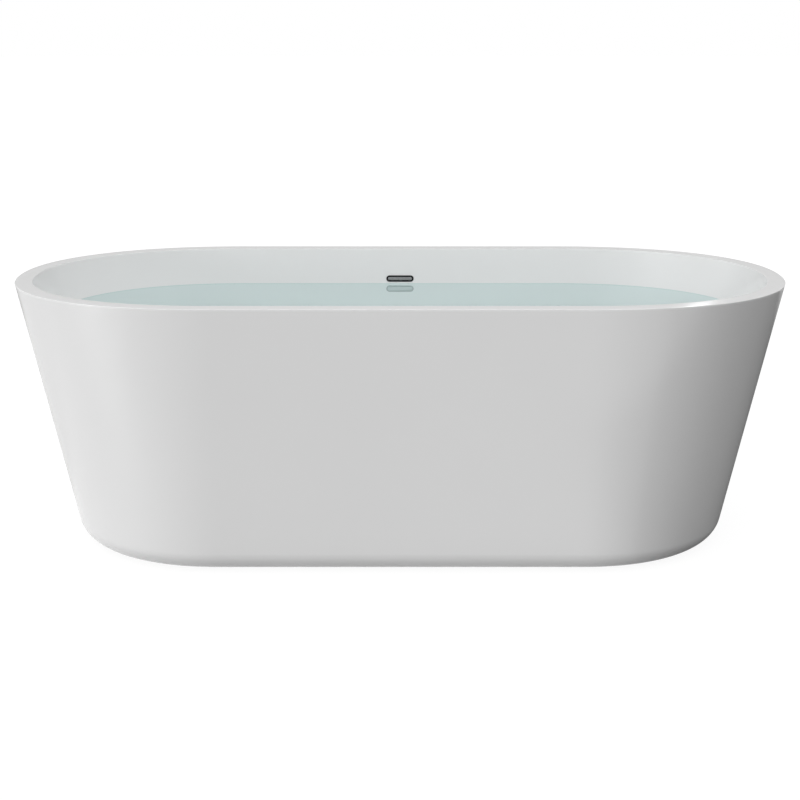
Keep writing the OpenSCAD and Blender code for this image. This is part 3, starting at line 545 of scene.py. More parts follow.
class Shells:
    """Rings of the basin's and the skirt's faces at any height"""

    def __init__(self, sizes):
        self.sizes = sizes
        self.half_straight = sizes.straight_side / 2
        self.end_reach = sizes.tub_length / 2 - self.half_straight
        self.side_reach = sizes.tub_width / 2
        self.skirt_top = sizes.tub_height - sizes.rim_thickness
        self.widest_z = sizes.tub_height - sizes.rim_edge_radius
        self.skirt_end_lean = math.atan(sizes.skirt_end_taper / self.widest_z)
        self.skirt_side_lean = math.atan(sizes.skirt_side_taper / self.widest_z)
        self.floor_edge = sizes.floor_height + sizes.floor_fall
        self.floor_under = sizes.floor_height - sizes.floor_thickness
        self.return_top = sizes.skirt_floor_gap + sizes.skirt_wall

    def tangent_z(self, lean):
        r = self.sizes.rim_inner_radius
        return self.sizes.tub_height - r + r * math.sin(lean)

    def ease_z(self, lean):
        ease = self.sizes.rim_ease
        return self.sizes.tub_height - ease * (1 - math.sin(lean))

    def inner_reach(self, z, reach, lean):
        """Reach of the inner face: the wall, and over it the eased edge of the rim"""
        s, r, ease = self.sizes, self.sizes.rim_inner_radius, self.sizes.rim_ease
        if z > self.ease_z(lean):
            rise = z - s.tub_height + ease
            centre = reach - s.rim_width - (r - ease) * (1 / math.cos(lean) - math.tan(lean))
            return centre - math.sqrt(max(0.0, ease * ease - rise * rise))
        return wall_reach(z, reach - s.rim_width - r * math.cos(lean), self.tangent_z(lean), lean,
                          self.floor_edge, s.bottom_radius)

    def back_reach(self, z, reach, lean):
        s = self.sizes
        top = reach - s.rim_width - s.rim_inner_radius * math.cos(lean)
        return wall_reach(z, top + s.basin_wall / math.cos(lean), self.tangent_z(lean), lean,
                          self.floor_under, s.bottom_radius + s.basin_wall)

    def skirt_reach(self, z, reach, lean):
        s = self.sizes
        return wall_reach(z, reach, self.widest_z, lean, s.skirt_floor_gap, s.skirt_bottom_radius)

    def skirt_inner_reach(self, z, reach, lean):
        s = self.sizes
        return wall_reach(z, reach - s.skirt_wall / math.cos(lean), self.widest_z, lean,
                          self.return_top, s.skirt_bottom_radius - s.skirt_wall)

    def ring(self, rule, z, end_lean, side_lean):
        return plan_ring(self.sizes, z, rule(z, self.end_reach, end_lean),
                         rule(z, self.side_reach, side_lean), self.half_straight)

    def inner_ring(self, z):
        return self.ring(self.inner_reach, z, self.sizes.end_lean, self.sizes.side_lean)

    def back_ring(self, z):
        return self.ring(self.back_reach, z, self.sizes.end_lean, self.sizes.side_lean)

    def skirt_ring(self, z):
        return self.ring(self.skirt_reach, z, self.skirt_end_lean, self.skirt_side_lean)

    def skirt_inner_ring(self, z):
        return self.ring(self.skirt_inner_reach, z, self.skirt_end_lean, self.skirt_side_lean)

    def inset_ring(self, z, inset):
        """A ring at a distance in from the tub's widest line"""
        return plan_ring(self.sizes, z, self.end_reach - inset, self.side_reach - inset,
                         self.half_straight)

    def round_ring(self, z, radius):
        return plan_ring(self.sizes, z, radius, radius, 0.0, 2.0)

    def land_ring(self, z, land):
        return plan_ring(self.sizes, z, land, land, land / 2)


def between(first, last, steps):
    """Rings that lead from one ring to another, without the first"""
    return [[a.lerp(b, i / steps) for a, b in zip(first, last)] for i in range(1, steps + 1)]


def wall_frame(context):
    """Place of the overflow: X along the tub, Y up the wall and Z out into the basin"""
    sizes, trim = context.scene.bath_shell, context.scene.bath_trim
    shells = Shells(sizes)
    z = sizes.tub_height - trim.overflow_below_rim
    y = shells.inner_reach(z, shells.side_reach, sizes.side_lean)
    turn = Matrix.Rotation(math.pi / 2 - sizes.side_lean, 4, "X")
    return Matrix.Translation((0.0, y, z)) @ turn


# The two shells


def form_basin(context):
    sizes, trim = context.scene.bath_shell, context.scene.bath_trim
    shells = Shells(sizes)
    top, edge, inner = sizes.tub_height, sizes.rim_edge_radius, sizes.rim_ease
    recess_z = sizes.floor_height - trim.recess_depth
    throat = trim.throat_d / 2 + FIT
    recess = trim.flange_d / 2 + FIT
    land = shells.land_ring(sizes.floor_height, trim.flange_d)
    land_under = shells.land_ring(shells.floor_under, trim.flange_d)
    ease = 0.0008

    rings = [shells.round_ring(shells.floor_under, throat), shells.round_ring(recess_z, throat)]
    rings += between(rings[-1], shells.round_ring(recess_z, recess), 3)
    rings.append(shells.round_ring(sizes.floor_height - ease, recess))
    rings.append(shells.round_ring(sizes.floor_height, recess + ease))
    rings += between(rings[-1], land, 5)
    rings += between(land, shells.inner_ring(shells.floor_edge), 10)
    heights = round_heights(shells.floor_edge, sizes.bottom_radius, sizes.side_lean, 26)
    rings += [shells.inner_ring(z) for z in heights[1:]]
    wall_top = shells.ease_z(sizes.side_lean)
    rings += [shells.inner_ring(z) for z in spaced(heights[-1], wall_top, 16)]
    turns = [math.radians(turn) for turn in spaced(90 - math.degrees(sizes.side_lean), 0, 12)]
    rings += [shells.inner_ring(top - inner * (1 - math.cos(turn))) for turn in turns]
    rings += between(rings[-1], shells.inset_ring(top, edge), 4)
    turns = [math.radians(turn) for turn in spaced(0, 90, 8)]
    rings += [shells.inset_ring(top - edge * (1 - math.cos(turn)), edge * (1 - math.sin(turn)))
              for turn in turns]
    rings.append(shells.skirt_ring(shells.skirt_top))
    rings += between(rings[-1], shells.back_ring(shells.skirt_top), 3)
    heights = round_heights(shells.floor_under, sizes.bottom_radius + sizes.basin_wall,
                            sizes.side_lean, 12)
    back = [shells.back_ring(z) for z in heights + spaced(heights[-1], shells.skirt_top, 6)]
    rings += back[-2::-1]
    rings += between(rings[-1], land_under, 3)
    basin = piece("bath_basin", [skin(rings, loop=True)], "acrylic", stands_for=["basin_shell"])

    slot_w = trim.overflow_width - 2 * trim.overflow_lip
    slot_h = trim.overflow_height - 2 * trim.overflow_lip
    depth = 3 * sizes.basin_wall
    slot = skin([pill_ring(slot_w, slot_h, z) for z in (-depth, depth)], capped=True)
    cut(basin, placed(slot, wall_frame(context)))


def form_skirt(context):
    sizes = context.scene.bath_shell
    shells = Shells(sizes)
    base, wall = sizes.skirt_floor_gap, sizes.skirt_wall
    flat_end = shells.skirt_reach(base, shells.end_reach, shells.skirt_end_lean)
    flat_side = shells.skirt_reach(base, shells.side_reach, shells.skirt_side_lean)
    flange = shells.inset_ring(shells.skirt_top, sizes.bond_flange_width)
    lip = [plan_ring(sizes, z, flat_end - sizes.return_width, flat_side - sizes.return_width,
                     shells.half_straight) for z in (base, shells.return_top)]

    heights = round_heights(base, sizes.skirt_bottom_radius, shells.skirt_side_lean, 20)
    outer = [shells.skirt_ring(z) for z in heights + spaced(heights[-1], shells.skirt_top, 12)]
    heights = round_heights(shells.return_top, sizes.skirt_bottom_radius - wall,
                            shells.skirt_side_lean, 12)
    under_flange = shells.skirt_top - wall
    inner = [shells.skirt_inner_ring(z) for z in heights + spaced(heights[-1], under_flange, 6)]
    rings = [flange] + between(flange, outer[-1], 2) + outer[-2::-1]
    rings += between(outer[0], lip[0], 3) + between(lip[0], lip[1], 1)
    rings += between(lip[1], inner[0], 3) + inner[1:]
    rings += between(inner[-1], shells.inset_ring(under_flange, sizes.bond_flange_width), 2)
    piece("bath_skirt", [skin(rings, loop=True)], "acrylic", stands_for=["outer_skirt"])


# Overflow


def slot_loft(outline_w, outline_h, profile, matrix, loop=False, capped=False):
    """Skin through outlines of a slot; the profile holds (inset, height)"""
    rings = [pill_ring(outline_w - 2 * inset, outline_h - 2 * inset, z) for inset, z in profile]
    return placed(skin(rings, loop, capped), matrix)


def form_overflow(context):
    trim = context.scene.bath_trim
    place = wall_frame(context)
    w, h, depth = trim.overflow_width, trim.overflow_height, trim.frame_depth
    lip_height, ease = 0.0012, 0.0006
    web_reach, web_thickness = 0.004, 0.002
    hole = trim.overflow_lip + FIT
    bore = trim.overflow_lip + trim.frame_wall
    profile = [(hole, -depth), (hole, 0.0), (0.0, 0.0)]
    profile += [(ease - dx, lip_height - ease + dz) for dx, dz in arc(ease, 0, 90, 5)]
    profile += [(bore - ease + dx, lip_height - ease + dz) for dx, dz in arc(ease, 90, 0, 5)]
    profile += [(bore, -depth)]
    ring = slot_loft(w, h, profile, place, loop=True)
    web = slot_loft(w, h, [(bore - ease, -depth), (bore - ease, -depth + web_thickness),
                           (bore + web_reach, -depth + web_thickness), (bore + web_reach, -depth)],
                    place, loop=True)
    piece("overflow_frame_trim", [ring, web], "dark_chrome", stands_for=["overflow_frame"])

    plate_w = w - 2 * (bore + trim.overflow_gap)
    plate_h = h - 2 * (bore + trim.overflow_gap)
    t, edge, crown, peg_radius, peg_inset = trim.plate_height, 0.0007, 0.0002, 0.0015, 0.008
    profile = [(edge / 2, -t), (0.0, -t + edge / 2), (0.0, -edge)]
    profile += [(edge - dx, -edge + dz) for dx, dz in arc(edge, 18, 90, 5)]
    profile += [(plate_h / 4, -crown / 2), (plate_h / 2 - crown, 0.0)]
    shapes = [slot_loft(plate_w, plate_h, profile, place, capped=True)]
    for side in (-1, 1):
        peg = lathe([(0.0, -depth), (peg_radius, -depth), (peg_radius, -t + edge),
                     (0.0, -t + edge)], 24, False)
        aside = Matrix.Translation((side * (plate_w / 2 - peg_inset), 0.0, 0.0))
        shapes.append(placed(peg, place @ aside))
    piece("overflow_face_plate", shapes, "chrome", stands_for=["overflow_plate"])


# Waste


def ribbed_ring(radius, depth, ribs, steps, z):
    """A ring whose radius dips between its ribs"""
    turns = [math.tau * i / steps for i in range(steps)]
    return [polar(radius - depth * abs(math.sin(ribs * turn / 2)), turn, z) for turn in turns]


def slip_nut_shape(outer, thread, pipe, base, top):
    """A ribbed slip nut along Z: it closes with a lip at its base and laps the thread above it"""
    ribs, steps, depth, edge, lip = 16, 128, 0.0016, 0.0012, 0.003

    def plain(radius, z):
        return circle_ring(radius, z, steps)

    low = [plain(pipe + FIT, base), plain(outer - 2 * edge, base),
           plain(outer - edge, base + edge / 2)]
    ribbed = [ribbed_ring(outer, share * depth, ribs, steps, z)
              for share, z in ((0.4, base + edge), (1.0, base + 2 * edge), (1.0, top - 3 * edge),
                               (0.4, top - 2 * edge))]
    high = [plain(outer - edge / 2, top - 1.5 * edge), plain(outer - edge, top - edge / 4),
            plain(outer - 1.5 * edge, top), plain(thread + 3 * FIT, top),
            plain(thread + FIT, top - edge / 2)]
    inside = [plain(thread + FIT, base + lip), plain(pipe + FIT, base + lip)]
    return skin(low + ribbed + high + inside, loop=True)


def rounded_profile(points, edges, steps=4):
    """A closed profile whose corners are rounded by the radii given"""
    out = []
    for i, (point, radius) in enumerate(zip(points, edges)):
        here = Vector(point)
        before, after = Vector(points[i - 1]), Vector(points[(i + 1) % len(points)])
        first = here + (before - here).normalized() * radius
        last = here + (after - here).normalized() * radius
        for k in range(steps + 1):
            t = k / steps
            spot = first * (1 - t) ** 2 + here * 2 * t * (1 - t) + last * t ** 2
            out.append((spot.x, spot.y))
    return out


def form_flange(trim):
    low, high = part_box("drain_flange")
    seat_drop, plate, lip, pitch, groove = 0.002, 0.0045, 0.0015, 0.002, 0.0005
    outer, throat, seat = trim.flange_d / 2, trim.throat_d / 2, trim.seat_d / 2
    bore, seat_z, under = throat - trim.throat_wall, high.z - seat_drop, high.z - plate
    points = [(bore, low.z), (throat, low.z), (throat, under), (outer, under), (outer, high.z),
              (seat + lip, high.z), (seat, seat_z), (bore + lip / 2, seat_z), (bore, seat_z - lip)]
    edges = [0.0003, 0.0004, 0.0003, 0.0008, 0.0014, 0.0007, 0.0005, 0.0006, 0.0006]
    profile = rounded_profile(points, edges)
    first = next(i for i, (r, z) in enumerate(profile)
                 if r > throat - 1e-5 and z > low.z + edges[0])
    thread, z = [], low.z + pitch
    while z < under - 3 * pitch:
        thread += [(throat, z), (throat - groove, z + pitch / 4), (throat - groove, z + pitch / 2),
                   (throat, z + 3 * pitch / 4)]
        z += pitch
    profile = profile[:first + 1] + thread + profile[first + 1:]
    shapes = [lathe(profile, 96)]
    hub, nipple = trim.hub_d / 2, trim.nipple_d / 2 + FIT
    base, top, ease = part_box("click_sleeve")[0].z, trim.spoke_top, 0.0006
    shapes.append(lathe([(nipple, base), (hub - ease, base), (hub, base + ease), (hub, top - ease),
                         (hub - ease, top), (nipple, top)], 48))
    half, spokes, into_hub, into_throat = trim.spoke_width / 2, 3, 0.001, 0.0005
    section = rounded_profile([(-half, base), (half, base), (half, top), (-half, top)],
                              [ease] * 4, 3)
    for k in range(spokes):
        spoke = skin([[Vector((x, y, z)) for y, z in section]
                      for x in (hub - into_hub, (hub + bore) / 2, bore + into_throat)],
                     capped=True)
        shapes.append(placed(spoke, Matrix.Rotation(k * math.tau / spokes, 4, "Z")))
    piece("drain_flange_ring", shapes, "chrome", stands_for=["drain_flange"])


def form_stopper(trim):
    cap_low, cap_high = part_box("stopper_cap")
    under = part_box("drain_flange")[1].z + FIT
    cap_radius, cap_top, edge, boss, stem = trim.cap_d / 2, cap_high.z, 0.0016, 0.012, 0.003
    dome = [(cap_radius - edge + x, under + edge + z) for x, z in arc(edge, -90, 60, 8)]
    rise = cap_top - dome[-1][1]
    dome += [(dome[-1][0] * math.sqrt(1 - f), dome[-1][1] + rise * f)
             for f in (0.12, 0.26, 0.42, 0.58, 0.74, 0.88, 0.96)]
    profile = [(stem + FIT, cap_low.z), (boss, cap_low.z), (boss, under)] + dome + [(0.0, cap_top)]
    profile += [(0.0, under + edge), (stem + FIT, under + edge)]
    piece("stopper_dome", [lathe(profile, 96)], "chrome", "stopper", ["stopper_cap"])


def form_spring(trim):
    """A wound spring of round wire, in the place of the construction's spring"""
    low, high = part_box("click_spring")
    wire, radius = trim.spring_wire / 2, high.x - trim.spring_wire / 2
    turns, steps, around = 4, 32, 8
    total = turns * steps
    rings = []
    for i in range(total + 1):
        turn = math.tau * i / steps
        z = low.z + wire + (high.z - low.z - 2 * wire) * i / total
        rings.append([polar(radius + x, turn, z + y) for x, y in arc(wire, 0, 360, around)[:-1]])
    spring = piece("click_spring_coil", [skin(rings, capped=True)], "zinc_steel", None,
                   ["click_spring"])
    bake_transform(spring)


def form_slip_nuts(trim):
    low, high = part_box("tail_nut")
    nut = slip_nut_shape(high.x, trim.spigot_d / 2, trim.tail_d / 2, low.z, high.z)
    piece("tail_nut_ribbed", [nut], "waste_plastic", stands_for=["tail_nut"])

    low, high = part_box("inlet_nut")
    nut = slip_nut_shape(high.x, trim.inlet_d / 2, trim.overflow_pipe_d / 2, 0.0, high.y - low.y)
    turned = Matrix.Rotation(math.pi / 2, 4, "X")
    nut = placed(nut, Matrix.Translation((0.0, high.y, (low.z + high.z) / 2)) @ turned)
    piece("inlet_nut_ribbed", [nut], "waste_plastic", stands_for=["inlet_nut"])


# Feet and fasteners


def hex_ring(flats, z, steps=48):
    """Outline of a hexagon by its width over the flats"""
    turns = [math.tau * i / steps for i in range(steps)]
    return [polar(flats / 2 / math.cos(turn % (math.pi / 3) - math.pi / 6), turn, z)
            for turn in turns]


def hex_nut_shape(flats, base, height, bore):
    chamfer, face = height * 0.14, flats / 2 * 0.97
    top = base + height
    rings = [circle_ring(bore, base + chamfer, 48), circle_ring(bore + chamfer, base, 48),
             circle_ring(face, base, 48), hex_ring(flats, base + chamfer),
             hex_ring(flats, top - chamfer), circle_ring(face, top, 48),
             circle_ring(bore + chamfer, top, 48), circle_ring(bore, top - chamfer, 48)]
    return skin(rings, loop=True)


def thread_rings(radius, bottom, top, pitch, steps):
    """Rings of a rolled thread: the ridge climbs one pitch in a turn"""
    depth, per_pitch = pitch * 0.3, 5
    levels = int((top - bottom) / pitch * per_pitch)
    rings = []
    for k in range(levels + 1):
        z = bottom + (top - bottom) * k / levels
        rings.append([polar(radius - depth * abs(2 * ((z / pitch - i / steps) % 1.0) - 1),
                            math.tau * i / steps, z) for i in range(steps)])
    return rings


def form_foot(number, sizes):
    body = f"foot_{number}"
    node = f"foot_stud_{number}"
    low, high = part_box(node)
    pad_low, pad_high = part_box(f"foot_pad_{number}")
    x, y = (pad_low.x + pad_high.x) / 2, (pad_low.y + pad_high.y) / 2
    place = Matrix.Translation((x, y, 0.0))
    r, bevel, chamfer, runout, steps = sizes.stud_d / 2, 0.0012, 0.0008, 0.002, 20
    thread = thread_rings(r, sizes.key_top + runout, high.z - bevel, sizes.thread_pitch, steps)
    rod = skin([circle_ring(r - bevel, low.z, steps), circle_ring(r, low.z + bevel, steps),
                *thread, circle_ring(r - bevel, high.z, steps)], capped=True)
    key = skin([circle_ring(sizes.key_flats / 2, sizes.key_base, 48),
                hex_ring(sizes.key_flats, sizes.key_base + chamfer),
                hex_ring(sizes.key_flats, sizes.key_top - chamfer),
                circle_ring(sizes.key_flats / 2, sizes.key_top, 48)], capped=True)
    piece(f"{node}_threaded", [placed(rod, place), placed(key, place)], "zinc_steel", body, [node])

    outer, neck, bore = pad_high.x - x, sizes.pad_neck_d / 2, r + FIT
    half, top = sizes.pad_height / 2, pad_high.z
    ribs, steps, depth, edge, hollow, ledge, ease = 24, 144, 0.0008, 0.002, 0.0006, 0.0004, 0.0008
    plain = [(1e-5, hollow), (outer * 0.55, hollow), (outer * 0.6, 0.0), (outer - edge, 0.0),
             (outer - edge / 3, edge / 3)]
    ribbed = [(0.3, edge), (1.0, 1.4 * edge), (1.0, half - ledge)]
    shoulder = outer - ledge
    slope = [(shoulder + (neck - shoulder) * (1 - (1 - f) ** 1.5), half * (1 + f ** 1.25))
             for f in [0.0] + spaced(0.0, 1.0, 5)]
    high_side = [(neck, top - ease), (neck - ease, top), (bore, top), (bore, low.z), (1e-5, low.z)]
    rings = [circle_ring(radius, z, steps) for radius, z in plain]
    rings += [ribbed_ring(outer, share * depth, ribs, steps, z) for share, z in ribbed]
    rings += [circle_ring(radius, z, steps) for radius, z in slope + high_side]
    piece(f"foot_pad_{number}_ribbed", [placed(skin(rings), place)], "black_plastic", body,
          [f"foot_pad_{number}"])


def islands(node):
    """Lowest and highest corner of each separate solid in a construction node"""
    shape = bmesh.new()
    shape.from_mesh(frame["nodes"][node].data)
    bmesh.ops.remove_doubles(shape, verts=shape.verts, dist=1e-6)
    waiting, boxes = set(shape.verts), []
    while waiting:
        stack, found = [waiting.pop()], []
        while stack:
            vertex = stack.pop()
            found.append(vertex.co.copy())
            for edge in vertex.link_edges:
                other = edge.other_vert(vertex)
                if other in waiting:
                    waiting.remove(other)
                    stack.append(other)
        boxes.append((Vector(map(min, *found)), Vector(map(max, *found))))
    shape.free()
    return sorted(boxes, key=lambda box: tuple(round(value, 6) for value in box[0]))


def form_hex_nuts(sizes):
    for node, slot in (("weld_nuts", "frame_paint"), ("lock_nuts", "zinc_steel")):
        shapes = []
        for low, high in islands(node):
            nut = hex_nut_shape(sizes.nut_flats, low.z, high.z - low.z, sizes.stud_d / 2 + FIT)
            middle = (low + high) / 2
            shapes.append(placed(nut, Matrix.Translation((middle.x, middle.y, 0.0))))
        piece(node + "_chamfered", shapes, slot, stands_for=[node])


def screw_shape(d, shank, head_height):
    """A screw whose shank points up from its domed head, with a hex socket and a thread"""
    r, steps, tip, runout = d / 2, 24, d * 0.35, d * 0.2
    rim_share, socket_share, socket = 0.35, 0.55, d * 0.42
    floor = -head_height * (1 - socket_share)
    dome = [(d * math.cos(t), -head_height * (rim_share + (1 - rim_share) * math.sin(t)))
            for t in (1.0, 0.7, 0.35, 0.0)]
    rings = [[Vector((0.0, 0.0, floor))] * steps]
    rings += [hex_ring(2 * socket, z, steps) for z in (floor, -head_height)]
    rings += [circle_ring(radius, z, steps) for radius, z in dome + [(d, 0.0), (r, 0.0)]]
    rings += thread_rings(r, runout, shank - tip, d * 0.22, steps)
    rings += [circle_ring(r * 0.35, shank, steps), [Vector((0.0, 0.0, shank))] * steps]
    shape = skin(rings)
    bmesh.ops.dissolve_degenerate(shape, dist=MERGE, edges=shape.edges)
    bmesh.ops.recalc_face_normals(shape, faces=shape.faces)
    return shape


def form_screws(sizes):
    """Screws that point up, down, and in from the side of the tub on which they stand"""
    head, small = sizes.head_height, sizes.bracket_screw_d
    for node, d, turn in (("board_screws", sizes.board_screw_d, 0.0),
                          ("bracket_screws", small, math.pi),
                          ("bracket_bolts", small, math.pi / 2)):
        shapes = []
        for low, high in islands(node):
            middle = (low + high) / 2
            rotation = Matrix.Rotation(math.copysign(turn, middle.y), 4, "X")
            along = rotation @ Vector((0.0, 0.0, 1.0))
            span = abs((high - low).dot(along))
            start = middle - along * (span / 2 - head)
            shapes.append(placed(screw_shape(d, span - head, head),
                                 Matrix.Translation(start) @ rotation))
        piece(node + "_socketed", shapes, "zinc_steel", stands_for=[node])


# Frame


def weld_bead(first, last, radius, seed):
    """A run of overlapping drops between two points"""
    drop_length, per_drop, steps = 0.0022, 3, 8
    waist, swell, tip = 0.72, 0.28, 0.4
    line = last - first
    levels = max(4, int(line.length / drop_length)) * per_drop
    side = line.normalized().orthogonal().normalized()
    other = line.normalized().cross(side)
    rings = []
    for k in range(levels + 1):
        spot = first + line * k / levels
        wave = waist + swell * abs(math.sin(math.pi * k / per_drop + seed))
        size = radius * (wave if 0 < k < levels else tip)
        rings.append([spot + side * x + other * y for x, y in arc(size, 0, 360, steps)[:-1]])
    return skin(rings, capped=True)


def form_welds():
    """Beads round the ends of the crossbars, where they meet the rails"""
    radius = 0.0016
    inset = radius * 0.6
    shapes = []
    for low, high in islands("frame_crossbars"):
        for y, inward in ((low.y, 1), (high.y, -1)):
            y += inward * radius * 0.3
            corners = [Vector((x, y, z)) for x, z in
                       ((low.x, low.z), (high.x, low.z), (high.x, high.z), (low.x, high.z))]
            for k, (dx, dz) in enumerate(((0, inset), (-inset, 0), (0, -inset), (inset, 0))):
                shift = Vector((dx, 0.0, dz))
                shapes.append(weld_bead(corners[k] + shift, corners[(k + 1) % 4] + shift,
                                        radius, k))
    piece("frame_weld_beads", shapes, "frame_paint")


BEVELS = {"frame_rails": 0.0018, "frame_crossbars": 0.0018, "skirt_brackets": 0.0007,
          "rim_battens": 0.0012, "support_board": 0.0008, "rail_caps": 0.0009,
          "overflow_housing": 0.0008, "drain_body": 0.0006, "overflow_elbow": 0.0005,
          "tail_pipe": 0.0003, "click_sleeve": 0.0003, "stopper_stem": 0.0003}


def ease_edges():
    """Rounds the sharp edges of the construction pieces that stay"""
    for node, width in BEVELS.items():
        modifier = frame["nodes"][node].modifiers.new("ease", "BEVEL")
        modifier.width = width
        modifier.segments = 3
        modifier.limit_method = "ANGLE"
        modifier.angle_limit = math.radians(40)
        modifier.harden_normals = False


# Studio


def white_rays(nodes):
    """1 for the rays that see the white studio, and 0 for the rays that light the tub"""
    path = nodes.add("ShaderNodeLightPath").outputs
    seen = nodes.math("MAXIMUM", path["Is Camera Ray"], path["Is Glossy Ray"])
    return nodes.math("MAXIMUM", seen, path["Is Transmission Ray"])


def light_world(studio):
    world = bpy.data.worlds.new("studio")
    bpy.context.scene.world = world
    nodes = Nodes(world)
    direction = nodes.add("ShaderNodeTexCoord").outputs["Generated"]
    height = nodes.math("MAXIMUM", nodes.split(direction)["Z"], 0.0)
    soft = nodes.feed(nodes.tree.nodes["Background"], {
        "Color": WHITE, "Strength": nodes.math("MULTIPLY", height, studio.sky)})
    seen = nodes.add("ShaderNodeBackground", {"Color": WHITE})
    shader = nodes.blend(white_rays(nodes), soft.outputs[0], seen.outputs[0])
    nodes.feed(nodes.tree.nodes["World Output"], {"Surface": shader})


def stage_material(name, shader_of):
    """A material whose surface is what shader_of makes of its nodes"""
    material = bpy.data.materials.new(name)
    nodes = Nodes(material)
    nodes.feed(nodes.tree.nodes["Material Output"], {"Surface": shader_of(nodes)})
    return material


def square_mesh(name, corners, material):
    mesh = bpy.data.meshes.new(name)
    mesh.from_pydata(corners, [], [(0, 1, 2, 3)])
    mesh.materials.append(material)
    return mesh


def lay_floor(studio):
    reach, glow = 30.0, 0.92

    def surface(nodes):
        return nodes.feed(nodes.tree.nodes["Principled BSDF"], {
            "Base Color": (*studio.floor_colour, 1.0), "Roughness": 0.9,
            "Specular IOR Level": 0.1, "Emission Color": WHITE,
            "Emission Strength": nodes.math("MULTIPLY", white_rays(nodes), glow)}).outputs[0]

    corners = [(-reach, -reach, 0.0), (reach, -reach, 0.0), (reach, reach, 0.0),
               (-reach, reach, 0.0)]
    material = stage_material("studio_floor", surface)
    floor = link_object("studio_floor", square_mesh("studio_floor", corners, material))
    floor.visible_shadow = False


def hang_lamp(name, turn, rise, strength, softness):
    """A soft lamp at a turn to the left of the front and at a height over the horizon"""
    lamp = bpy.data.lights.new(name, "SUN")
    lamp.energy = strength
    lamp.angle = softness
    obj = link_object(name, lamp)
    direction = Vector((-math.sin(turn) * math.cos(rise), -math.cos(turn) * math.cos(rise),
                        math.sin(rise)))
    obj.rotation_euler = direction.to_track_quat("Z", "Y").to_euler()


def hang_card(name, corners, glow, fade=None):
    """A card that only reflections see; fade holds the distances to the side from none to all"""
    def surface(nodes):
        light = nodes.add("ShaderNodeEmission", {"Strength": glow}).outputs[0]
        if not fade:
            return light
        place = nodes.add("ShaderNodeTexCoord").outputs["Object"]
        aside = nodes.math("ABSOLUTE", nodes.split(place)["X"])
        share = nodes.add("ShaderNodeMapRange", {
            "Value": aside, "From Min": fade[0], "From Max": fade[1]},
            interpolation_type="SMOOTHSTEP").outputs["Result"]
        clear = nodes.add("ShaderNodeBsdfTransparent").outputs[0]
        return nodes.blend(share, clear, light)

    card = link_object(name, square_mesh(name, corners, stage_material(name, surface)))
    card.visible_camera = False
    card.visible_diffuse = False
    card.visible_transmission = False
    card.visible_shadow = False


def hang_cards(studio):
    """A wall behind the tub, two squares on the floor beside it, and a small strip of light"""
    back, wide, high, clear = 1.6, 2.6, 3.4, 1.5
    low, near, far, full = 0.002, 0.3, 3.0, 0.75
    right_front, left_front = -1.2, 0.1
    left, right, foot, head, strip_y = 0.985, 1.045, 1.01, 1.2, 1.5

    def upright(left, right, foot, head, y):
        return [(left, y, foot), (right, y, foot), (right, y, head), (left, y, head)]

    def on_floor(first, last, front):
        return [(first, front, low), (last, front, low), (last, back, low), (first, back, low)]

    hang_card("back_card", upright(-wide, wide, 0.0, high, back), studio.back_card, (wide, clear))
    hang_card("right_card", on_floor(near, far, right_front), studio.floor_card, (near, full))
    hang_card("left_card", on_floor(-near, -far, left_front), studio.left_card, (near, full))
    hang_card("strip_light", upright(left, right, foot, head, strip_y), studio.strip_glow)


def hang_lamps(studio):
    for name in ("key", "fill", "side"):
        hang_lamp(name + "_lamp", *[getattr(studio, f"{name}_{value}")
                                    for value in ("turn", "rise", "strength", "softness")])


def place_camera(studio):
    camera = bpy.data.cameras.new("camera")
    camera.lens = studio.camera_lens
    camera.sensor_width = 36.0
    obj = link_object("camera", camera)
    obj.location = (0.0, -studio.camera_distance, studio.camera_height)
    obj.rotation_euler = (math.pi / 2 - studio.camera_tilt, 0.0, 0.0)
    bpy.context.scene.camera = obj


def water_material(studio):
    """Clear tinted water that lets the light for matt surfaces through"""
    def surface(nodes):
        shader = nodes.feed(nodes.tree.nodes["Principled BSDF"], {
            "Base Color": (*studio.water_colour, 1.0), "Roughness": 0.0, "IOR": 1.52,
            "Transmission Weight": 1.0})
        pale = [(3 + value) / 4 for value in studio.water_colour]
        clear = nodes.add("ShaderNodeBsdfTransparent", {"Color": (*pale, 1.0)}).outputs[0]
        path = nodes.add("ShaderNodeLightPath").outputs
        through = nodes.math("MAXIMUM", path["Is Shadow Ray"], path["Is Diffuse Ray"])
        return nodes.blend(through, shader.outputs[0], clear)

    return stage_material("water", surface)


def fill_water(context):
    """A level surface that climbs the wall a little at its edge"""
    studio = context.scene.bath_studio
    shells = Shells(context.scene.bath_shell)
    level, climb, reach, steps, middle = studio.water_level, 0.0012, 0.004, 5, 0.2
    edge = shells.inner_ring(level)
    centre = Vector((0.0, 0.0, level))
    outward = [(point - centre).normalized() for point in edge]
    rings = [[Vector((p.x * share, p.y * share, level)) for p in edge]
             for share in spaced(0.0, 1.0, 40)[:-1]]
    for i in range(steps, -1, -1):
        back, rise = reach * i / steps, climb * (1 - i / steps) ** 2
        rings.append([p - d * back for p, d in zip(shells.inner_ring(level + rise), outward)])
    shape = skin(rings)
    inner = [e for e in shape.edges
             if e.is_boundary and all(v.co.xy.length < middle for v in e.verts)]
    bmesh.ops.holes_fill(shape, edges=inner)
    mesh = mesh_of("bath_water", [shape])
    mesh.shade_smooth()
    mesh.materials.append(water_material(studio))
    water = link_object("bath_water", mesh)


# Operators


